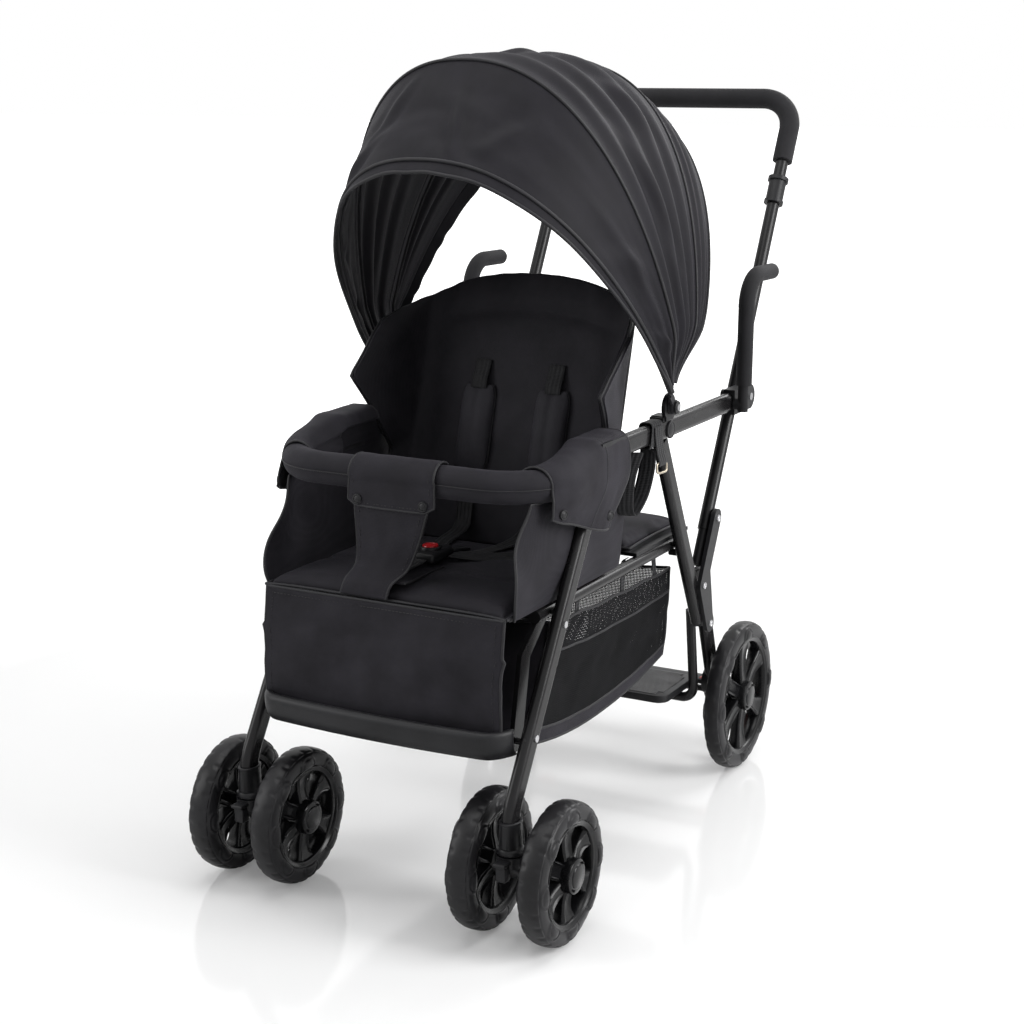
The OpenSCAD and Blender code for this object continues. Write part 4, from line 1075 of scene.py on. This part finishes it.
middle = nodeCentre("buckle_button")
lock, bezel = buckleBody(), bmesh.new()
spun(bezel, buckle["bezel"], 32, True)
turn = Matrix.Translation((middle.x, middle.y, 0)) @ Matrix.Rotation(-math.pi / 2, 4, "Y")
moveBy(bezel, turn)
faceOut(bezel)
joinInto(lock, bezel)
lock = addPlastic("buckleBody", lock, sharp=35)
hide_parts("buckle")
cap = snapCap(Vector((middle.x, middle.y, (buckle["high"] - 1) * mm)), Vector((0, 0, 1)), buckle["button"])
press = addPiece("releaseButton", cap, buttonRed, "button", 40)
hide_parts("buckle_button")
print("harness laid")

# footrest: a moulded tray with a rolled front lip
foot = dict(
    half=167, lipHalf=179, front=-44, back=30, floor=240, bow=10, wall=4, corner=30, cornerLift=7,
    # the lip's section, from the front edge and the floor
    lip=[(18, 1), (11, 9), (6, 20), (1, 22), (-1.5, 17), (1, 2), (8, -8)],
    ribHigh=0.7, ribPitch=8,
)


def footShape(u, w):
    side = 2 * u - 1
    x = side * mix(foot["half"], foot["lipHalf"], smooth(0.1, 0.6, w))
    turn = max(0, abs(side) - 0.84) / 0.16
    front = foot["front"] + foot["bow"] * side * side + foot["corner"] * turn**2.4
    floor = foot["floor"]
    section = [at(0, foot["back"], floor - 1), at(0, 8, floor)]
    section += [at(0, front + y, floor + z) for y, z in foot["lip"]]
    place = onPath(section, w)
    rise = foot["ribHigh"] * wave((place.y - axleY) / mm / foot["ribPitch"]) * (w < 0.3)
    rise += foot["cornerLift"] * turn**2 * (w < 0.35)
    return Vector((x * mm, place.y, place.z + rise * mm))


tray = addPlastic("footTray", gridOf(footShape, (60, 44)), sharp=None)
thickened(tray, foot["wall"], -1.0)
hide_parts("footrest")

# basket: open net over closer net and a hem, on a cloth floor that sags
basket = dict(
    half=164, thick=1.8, net=0.26, hem=0.88, lap=0.02, slope=3, binding=2.0,
    sag=5, uneven=2, scallop=2.5, bulge=5.4, dip=10, floorSag=9, ends=(121, 494),
    strapX=162, strapWide=14, strapLap=14, strapsAt=(150, 205, 340, 440),
    strapTop=[(6, 397.6), (1.2, 394), (0, 384)],
)
basketTop = [at(0, 121, 364), at(0, 240, 356), at(0, 370, 351), at(0, 494, 348)]
basketLow = [at(0, 47, 222), at(0, 150, 204), at(0, 250, 198), at(0, 370, 204), at(0, 480, 222)]


def basketSide(sign, first, last):
    def shape(u, w):
        k = mix(first, last, w)
        top, low = onPath(basketTop, u), onPath(basketLow, u)
        sag = basket["sag"] * arch(k) * (0.4 + fuzz(u * 6, k * 3, sign * 3.0))
        sag += basket["uneven"] * fuzz(u * 14, k * 6, 2.0) * arch(k)
        scallop = basket["scallop"] * abs(arch(4 * u)) * (1 - k) ** 4
        place = mix(top, low, k)
        x = sign * (basket["half"] - basket["slope"] * k + sag)
        return Vector((x * mm, place.y, place.z - scallop * mm))

    return shape


def basketWall(end):
    def shape(u, w):
        top, low = onPath(basketTop, end), onPath(basketLow, end)
        place = mix(top, low, w)
        sag = (basket["bulge"] if end else -basket["bulge"]) * arch(w) * arch(u)
        dip = basket["dip"] * arch(u) * (1 - w) ** 2
        half = basket["half"] - basket["slope"] * w
        return Vector(((2 * u - 1) * half * mm, place.y + sag * mm, place.z - dip * mm))

    return shape


def basketFloor(u, w):
    place = onPath(basketLow, w)
    sag = basket["floorSag"] * arch(u) * arch(w) + basket["uneven"] * fuzz(u * 5, w * 7, 1.0)
    return Vector(((2 * u - 1) * (basket["half"] - basket["slope"]) * mm, place.y, place.z - sag * mm))


def basketCloth(name, shape, cells, material):
    return clothSheet(
        name, shape, cells, material, basket["thick"]
    )


base = basketCloth("basketFloor", basketFloor, (30, 40), seatCloth)
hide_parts("basket")
bound = []
for sign, label in sides:
    bands = [
        ("Net", 0, basket["net"], 8, netCloth if sign > 0 else farNet),
        ("Side", basket["net"] - basket["lap"], basket["hem"], 16, closeNet),
        ("Hem", basket["hem"] - basket["lap"], 1, 5, seatCloth),
    ]
    for band, first, last, rows, cloth in bands:
        basketCloth("basket" + band + label, basketSide(sign, first, last), (60, rows), cloth)
    for k in (0, basket["net"], basket["hem"], 1):
        bound.append(edgeOf(basketSide(sign, k, k), (0, 0), (1, 0), 60))
    for u in (0, 1):
        bound.append(edgeOf(basketSide(sign, 0, 1), (u, 0), (u, 1), 24))
basketCloth("basketFront", basketWall(0), (30, 16), seatCloth)
basketCloth("basketBack", basketWall(1), (30, 16), farNet)
for end in (0, 1):
    bound.append(edgeOf(basketWall(end), (0, 0), (1, 0), 30))
pipes("basketBinding", bound, basket["binding"])
for sign, label in sides:
    for k, y in enumerate(basket["strapsAt"]):
        first, last = basket["ends"]
        drop = onPath(basketTop, (y - first) / (last - first))
        x = sign * basket["strapX"]
        line = [at(x + sign * out, y, z) for out, z in basket["strapTop"]]
        line.append(Vector((x * mm, drop.y, drop.z - basket["strapLap"] * mm)))
        strap(
            "basketStrap%s%d" % (label, k), line, basket["strapWide"], Vector((0, 1, 0)), 14,
        )
print("basket hung")

# rear bench pad
bench = dict(half=164, front=356, back=532, base=401.7, high=17.3, edge=8, piping=2.1)


def benchShape(u, v, s):
    x = (2 * u - 1) * bench["half"] + drawnIn(u, v)
    rise = bench["edge"] + (bench["high"] - bench["edge"]) * pillow(u, v)
    return at(x, mix(bench["front"], bench["back"], v), bench["base"] + rise * s)


benchPad = padForm("benchPad", benchShape, 24, padCloth)
puffed(benchPad, bench["base"])
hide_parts("bench_pad")
pipes("benchPiping", [aroundOf(benchShape, 0.6, 40, 30)], bench["piping"], closed=True)

# standing platform: a ribbed tread with round corners
tread = dict(
    half=156, front=504, back=622, low=136, top=147.5, corner=18, edge=1.5,
    ribs=24, ribHigh=1.4, ribSunk=0.3, ribMargin=6, ribInset=10, endInset=18, ribSlim=(0.7, 0.56),
)


def climb(edge):
    return abs(edge.verts[0].co.z - edge.verts[1].co.z)


def treadBoard():
    bm = bmesh.new()
    low = (-tread["half"], tread["front"], tread["low"])
    high = (tread["half"], tread["back"], tread["top"])
    edges = addBlock(bm, lambda *place: at(*[mix(a, b, k) for a, b, k in zip(low, high, place)]))
    bevelled(bm, [e for e in edges if climb(e) > mm], tread["corner"], 6)
    bevelled(bm, [e for e in bm.edges if climb(e) < 0.1 * mm], tread["edge"], 2)
    return bm


def treadRibs():
    bm = bmesh.new()
    pitch = (tread["back"] - tread["front"] - 2 * tread["ribMargin"]) / tread["ribs"]
    for k in range(tread["ribs"]):
        centre = tread["front"] + tread["ribMargin"] + (k + 0.5) * pitch
        half = tread["half"] - tread["ribInset" if 2 < k < tread["ribs"] - 3 else "endInset"]

        def rib(u, v, s):
            z = tread["top"] - tread["ribSunk"] + s * tread["ribHigh"]
            return at((2 * u - 1) * half, centre + (v - 0.5) * pitch * mix(*tread["ribSlim"], s), z)

        addBlock(bm, rib)
    return bm


board = addPlastic("standTread", treadBoard(), "rear_frame", 35)
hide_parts("platform_board")
addPiece("standRibs", treadRibs(), treadPlastic, "rear_frame", 35)
print("bench and platform made")

# webbing wrapped round each rail by the canopy hub, with a ring and a slack loop
railWrap = dict(
    x=204, z=574, halfX=9.7, halfZ=16.7, front=311, back=345, thick=1.8,
    square=0.4, crumple=0.5, skew=3,
    ring=(214.4, 345, 527), ringHalf=(16, 7), wire=1.6, tabWide=25, loopWide=23,
)


def wrapShape(sign):
    def shape(u, w):
        a = 2 * math.pi * (w - 0.25)
        across = bent(math.cos(a), railWrap["square"])
        up = bent(math.sin(a), railWrap["square"])
        crumple = railWrap["crumple"] * fuzz(u * 4, 3 * math.cos(a), 3 * math.sin(a))
        y = mix(railWrap["front"], railWrap["back"], u) + railWrap["skew"] * up
        x = railWrap["x"] + (railWrap["halfX"] + crumple) * across
        return at(sign * x, y, railWrap["z"] + (railWrap["halfZ"] + crumple) * up)

    return shape


def ringLine(sign):
    x, y, z = railWrap["ring"]
    along, up = railWrap["ringHalf"]
    line = []
    for k in range(28):
        a = 2 * math.pi * k / 28
        line.append(at(
            sign * x,
            y + along * bent(math.cos(a), 0.5),
            z + up * bent(math.sin(a), 0.5) - 2 * math.cos(a),
        ))
    return line


for sign, label in sides:
    wrap = clothSheet(
        "railWrap" + label, wrapShape(sign), (8, 40), webbing, railWrap["thick"]
    )
    if sign > 0:
        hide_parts("rail_strap")
    y, z = railWrap["ring"][1:]
    tab = [
        (215.6, 329, 586), (216.2, 331, 568), (216, 338, 548), (216.4, y, z + 8), (215, y, z + 3),
        (213, y, z + 8), (212, 340, 546), (210, 334, 555),
    ]
    line = [at(sign * x, y, z) for x, y, z in tab]
    strap("railTab" + label, line, railWrap["tabWide"], Vector((0, 1, 0)), 34)
    pipes("railRing" + label, [ringLine(sign)], railWrap["wire"], brassRing, "chassis", True)
    loop = [
        (203, 326, 556), (202, 325, 528), (200, 312, 497), (198, 291, 478), (197, 277, 474),
        (196, 270, 488), (197, 274, 524), (200, 292, 556),
    ]
    line = [at(sign * x, y, z) for x, y, z in loop]
    across = Vector((1, 0.1, 0)), Vector((0.9, 0.5, 0))
    strap("railLoop" + label, line, railWrap["loopWide"], across, 44)
print("rails strapped")

# the handle's feet run down to the knees, whose plates are bolted
handleFoot = dict(x=186, top=(568.5, 395), low=(541, 343), radius=8.2)
knee = dict(
    face=204.2, bolts=[(575.4, 407.6), (528, 318), (556, 254)], radius=5.2, pivot=(211.6, 378, 573, 12.6),
)
bolts, pivots = bmesh.new(), bmesh.new()
for sign, label in sides:
    x = sign * handleFoot["x"]
    line = edgeOf(at, (x, *handleFoot["top"]), (x, *handleFoot["low"]), 6)
    pipes("handleFoot" + label, [line], handleFoot["radius"], mouldedPlastic, "handle")
    x, y, z, wide = knee["pivot"]
    joinInto(pivots, snapCap(at(sign * x, y, z), Vector((sign, 0, 0)), wide))
    for y, z in knee["bolts"]:
        joinInto(bolts, snapCap(at(sign * knee["face"], y, z), Vector((sign, 0, 0)), knee["radius"]))
addPiece("kneeBolts", bolts, platedSteel, "rear_frame", 40)
addPlastic("pivotCaps", pivots)

# wheels: soft tyres with domed bosses by the rim, on gloss rims with broad dished spokes
wheel = dict(
    depth=23, bosses=8, bossWide=13, bossHigh=3.4, bossRim=1.9, notches=28, notchDeep=1.1,
    spokes=6, spokeWide=(10.5, 11.5), spokeFlare=6, spokeDeep=(0.62, 0.5), spokeFoot=0.16, spokeDish=0.34,
    hub=22.5, cap=0.8, proud=0.8, screws=(0.7, 0.7 + math.pi), screwAt=0.81, screw=1.7,
)


def mirrored(profile):
    return profile + [(-x, r) for x, r in reversed(profile) if abs(x) > 1e-6]


def tyreMesh(radius, half):
    r, bead = radius, radius - wheel["depth"]
    outline = [
        (0.66, bead), (0.8, bead + 0.7), (0.86, bead + 4), (0.865, bead + 8), (0.84, bead + 12),
        (0.77, r - 6.4), (0.7, r - 4.6), (0.69, r - 3), (0.56, r - 1.5), (0.3, r - 0.3), (0, r),
    ]
    line = [Vector((-half * x, far, 0)) for x, far in outline]
    section = mirrored([tuple(onPath(line, k / 30)[:2]) for k in range(31)])
    bm = bmesh.new()
    spun(bm, section, 10 * wheel["notches"], True)
    faceOut(bm)
    bm.normal_update()
    pitch = 2 * math.pi / wheel["bosses"]
    for v in bm.verts:
        angle = math.atan2(v.co.y, v.co.z)
        far = math.hypot(v.co.y, v.co.z) / mm
        nearest = pitch * round(angle / pitch)
        # how far this point is from the nearest boss
        apart = math.hypot(far - bead - 1.5, bead * 1.05 * (angle - nearest)) / wheel["bossWide"]
        dome = wheel["bossHigh"] * math.sqrt(max(0, 1 - apart**2.4))
        rim = wheel["bossRim"] * bell((apart - 1.12) / 0.11)
        wall = smooth(half * 0.6, half * 0.72, abs(v.co.x) / mm)
        notch = (0.5 + 0.5 * math.cos(wheel["notches"] * angle)) ** 5
        edge = smooth(r - 5, r - 3, far) * smooth(half * 0.2, half * 0.45, abs(v.co.x) / mm)
        v.co -= v.normal * wheel["notchDeep"] * notch * edge * mm
        v.co.x += math.copysign((dome - rim) * wall * mm, v.co.x)
    return bm


def rimMesh(radius, half, nose):
    # the outer side faces +x, and its nose covers the end of the axle
    bead, hub = radius - wheel["depth"], wheel["hub"]
    bm = bmesh.new()
    band = mirrored([
        (-half * 0.72, bead + 0.6), (-half * 0.84, bead + 1.2), (-half * 0.89, bead - 0.2),
        (-half * 0.87, bead - 1.8), (-half * 0.78, bead - 3.4), (-half * 0.74, bead - 6),
        (-half * 0.6, bead - 7.4), (0, bead - 8.2),
    ])
    spun(bm, band, 72, True)
    face = half * wheel["cap"]
    plug = [
        (nose, 0), (nose, hub * 0.6), (nose - 0.5, hub * 0.65), (nose - 1.6, hub * 0.68),
        (nose - 1.6, hub * 0.73), (nose - 1.9, hub * 0.9), (nose - 3, hub * 0.97), (nose - 6, hub), (0, hub),
        (-face * 0.8, hub * 0.8), (-face, hub * 0.72), (-face, hub * 0.3),
    ]
    spun(bm, plug, 48, False)
    for k in range(wheel["spokes"]):
        spoke = bmesh.new()
        bmesh.ops.create_cube(spoke, size=1)
        bmesh.ops.subdivide_edges(spoke, edges=spoke.edges[:], cuts=9, use_grid_fill=True)
        for v in spoke.verts:
            along, across = v.co.z + 0.5, 2 * v.co.y
            wide = mix(*wheel["spokeWide"], smooth(0, 0.45, along))
            wide += wheel["spokeFlare"] * smooth(0.5, 1.0, along) ** 1.6
            deep = mix(*wheel["spokeDeep"], smooth(0.05, 0.5, along))
            deep += wheel["spokeFoot"] * smooth(0.62, 1, along)
            hollow = smooth(0.86, 0.5, abs(across)) * arch(min(1, along * 1.05)) ** 0.5
            dish = 1 - wheel["spokeDish"] * hollow
            edge = 1 - 0.16 * smooth(0.84, 1, abs(across))
            v.co = Vector((
                v.co.x * 2 * half * deep * dish * edge,
                across * wide * (1 - 0.08 * abs(2 * v.co.x) ** 4),
                mix(hub * 0.8, bead - 5, along),
            )) * mm
        turn = Matrix.Rotation(2 * math.pi * k / wheel["spokes"], 4, "X")
        moveBy(spoke, turn)
        joinInto(bm, spoke)
    far = hub * wheel["screwAt"]
    for a in wheel["screws"]:  # two screws in the hub cap
        place = Vector((nose - 1.4, far * math.sin(a), far * math.cos(a))) * mm
        joinInto(bm, snapCap(place, Vector((1, 0, 0)), wheel["screw"]))
    faceOut(bm)
    return bm


wheels = [
    ("wheel_%d" % k, "rim_%d" % k, "tyre_%d" % k, "caster_left" if k < 3 else "caster_right")
    for k in (1, 2, 3, 4)
]
for side in ("left", "right"):
    wheels.append(("rear_wheel_" + side[0], "rear_rim_" + side, "rear_tyre_" + side, "rear_axle"))
for body, rimNode, tyreNode, axleNode in wheels:
    low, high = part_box(tyreNode)
    middle, radius, half = (low + high) / 2, (high.z - low.z) / 2 / mm, (high.x - low.x) / 2 / mm
    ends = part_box(axleNode)
    outward = math.copysign(1, middle.x - nodeCentre(axleNode).x)
    nose = abs((ends[1] if outward > 0 else ends[0]).x - middle.x) / mm + wheel["proud"]
    tyre, rim = tyreMesh(radius, half), rimMesh(radius, half, nose)
    bmesh.ops.scale(rim, vec=(outward, 1, 1), verts=rim.verts[:])
    for bm in (tyre, rim):
        moveBy(bm, Matrix.Translation(middle))
        faceOut(bm)
    tyre = addPiece("tyre" + body.title().replace("_", ""), tyre, tyreRubber, body)
    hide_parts(tyreNode)
    rim = addPiece("rim" + body.title().replace("_", ""), rim, glossPlastic, body, 42)
    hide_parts(rimNode)
print("wheels turned")

# brake: a black bar behind the axle with a red pad at each end
brake = dict(
    reach=160, behind=26, deep=30, thick=8, bevel=2.5, pad=30, padThick=11, padDeep=(4, 33), padBevel=3,
    collar=[(-3, 11), (-3, 12.4), (-2.2, 13), (2.2, 13), (3, 12.4), (3, 11)], arm=(11, 20, 3, 8), armBevel=2,
)


def brakeBar():
    axle = nodeCentre("rear_axle")
    bar, pads = bmesh.new(), bmesh.new()
    y, z = axle.y + brake["behind"] * mm, axle.z
    reach, thick, pad = brake["reach"] * mm, brake["thick"] / 2 * mm, brake["padThick"] / 2 * mm
    rounded(bar, (-reach, y, z - thick), (reach, y + brake["deep"] * mm, z + thick), brake["bevel"])
    padFront, padBack = [y + deep * mm for deep in brake["padDeep"]]
    armFront, armBack, armHalf, armHigh = [size * mm for size in brake["arm"]]
    for sign in (-1, 1):
        x = sign * reach
        inner = x - sign * brake["pad"] * mm
        low, high = min(x, inner) - mm, max(x, inner) + mm
        rounded(pads, (low, padFront, z - pad), (high, padBack, z + pad), brake["padBevel"])
        ring = bmesh.new()
        spun(ring, brake["collar"], 32, True)
        moveBy(ring, Matrix.Translation((x, axle.y, z)))
        joinInto(bar, ring)
        low = (x - armHalf, axle.y + armFront, z - armHigh)
        rounded(bar, low, (x + armHalf, y + armBack, z + armHigh), brake["armBevel"])
    faceOut(bar)
    return bar, pads


bar, pads = brakeBar()
lever = addPlastic("brakeBar", bar, "brake")
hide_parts("brake_pedal")
addPiece("brakePads", pads, brakeRed, "brake", 40)
print("brake fitted")

# casters: a sleeve on a collar takes each leg, over the lock lever on the swivel
caster = dict(
    stem=-37, bevel=1.8, oval=0.42, block=(7, -64, -50, 92, 111), lever=(8.5, -69, -51, 112, 117),
    sleeve=[(121, 6.4), (121, 16.4), (122, 17.4), (126.4, 17.6), (127.6, 16.8), (129, 14), (131, 12.8),
            (159, 12.4), (160, 13), (162.4, 13), (163, 12.2), (163, 10.4)],
)
sleeves = bmesh.new()
for node, label, body in [("caster_left", "Left", "caster_l"), ("caster_right", "Right", "caster_r")]:
    stem = nodeCentre(node).x / mm
    lock = bmesh.new()
    for half, front, rear, low, high in (caster["block"], caster["lever"]):
        rounded(lock, at(stem - half, front, low), at(stem + half, rear, high), caster["bevel"])
    addPlastic("swivelLock" + label, lock, body)
    sleeve = bmesh.new()
    spun(sleeve, caster["sleeve"], 40, True)
    turn = Matrix.Translation(at(stem, caster["stem"], 0)) @ Matrix.Rotation(-math.pi / 2, 4, "Y")
    moveBy(sleeve, turn)
    for v in sleeve.verts:  # oval above the collar, as the leg is
        wider = caster["oval"] * smooth(127.5, 131, v.co.z / mm)
        v.co.y += (v.co.y - caster["stem"] * mm - axleY) * wider
    faceOut(sleeve)
    joinInto(sleeves, sleeve)
sleeves = addPlastic("legSleeves", sleeves)
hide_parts("caster_sockets")
print("casters locked")

# floor, light and camera
studio = dict(
    floor=30, clear=(1.1, 2.6), ambient=0.26, glow=0.14,
    overhead=36, left=34, right=74, behind=40,
)


def makeFloor():
    bm = bmesh.new()
    bmesh.ops.create_grid(bm, x_segments=1, y_segments=1, size=studio["floor"])
    mesh = bpy.data.meshes.new("floor")
    bm.to_mesh(mesh)
    bm.free()
    floor = bpy.data.objects.new("floor", mesh)
    scene.collection.objects.link(floor)
    material, tree, shader = startMaterial("pale floor", specular=0.55)
    coords = coordsOf(tree, "Object")
    tint = rampOn(tree, noiseOn(tree, coords, 1.3, 2), 0.3, (0.88, 0.88, 0.88), 0.7, (0.9, 0.9, 0.9))
    # away from the stroller the floor fades to the white of the backdrop
    far = tree.nodes.new("ShaderNodeVectorMath")
    far.operation = "LENGTH"
    fade = spreadOn(tree, filled(tree, far, {0: coords}, "Value"), studio["glow"], 1.0)
    filled(tree, fade.node, dict(zip(("From Min", "From Max"), studio["clear"])))
    seen = tree.nodes.new("ShaderNodeLightPath").outputs["Is Camera Ray"]
    filled(tree, shader, {
        "Base Color": tint, "Roughness": 0.1, "Emission Color": (1, 1, 1, 1),
        "Emission Strength": mathOn(tree, "MULTIPLY", fade, seen),
    })
    mesh.materials.append(material)


def makeWorld():
    world = bpy.data.worlds.new("studio")
    world.use_nodes = True
    tree = world.node_tree
    rays = tree.nodes.new("ShaderNodeLightPath").outputs
    seen = mathOn(tree, "MAXIMUM", rays["Is Camera Ray"], rays["Is Glossy Ray"])
    seen = mathOn(tree, "MAXIMUM", seen, rays["Is Transmission Ray"])
    strength = spreadOn(tree, seen, studio["ambient"], 1.0)
    filled(tree, tree.nodes["Background"], {"Color": (1, 1, 1, 1), "Strength": strength})
    scene.world = world


def softLight(name, place, aim, size, power):
    lamp = bpy.data.lights.new(name, "AREA")
    lamp.shape = "RECTANGLE"
    lamp.size, lamp.size_y = size
    lamp.energy = power
    light = bpy.data.objects.new(name, lamp)
    light.location = place
    light.rotation_euler = (Vector(aim) - Vector(place)).to_track_quat("-Z", "Y").to_euler()
    scene.collection.objects.link(light)


makeFloor()
makeWorld()
softLight("overhead", (-0.2, -0.3, 3.0), (0, 0, 0.4), (2.2, 2.2), studio["overhead"])
softLight("frontLeft", (-2.4, -2.2, 1.7), (0, -0.1, 0.5), (1.4, 2.0), studio["left"])
softLight("rightSide", (2.6, 0.2, 1.6), (0, 0.1, 0.6), (1.2, 2.0), studio["right"])
softLight("behind", (0.9, 2.6, 2.2), (0, 0.1, 0.6), (1.8, 1.4), studio["behind"])

view = dict(lens=65.72, sensor=36, azimuth=28.338, pitch=13.402, place=(1.19224, -2.29488, 1.04497))
lens = bpy.data.cameras.new("photo view")
lens.lens = view["lens"]
lens.sensor_width = view["sensor"]
eye = bpy.data.objects.new("photo view", lens)
eye.location = view["place"]
eye.rotation_euler = (math.radians(90 - view["pitch"]), 0, math.radians(view["azimuth"]))
scene.collection.objects.link(eye)
scene.camera = eye
print("lit")
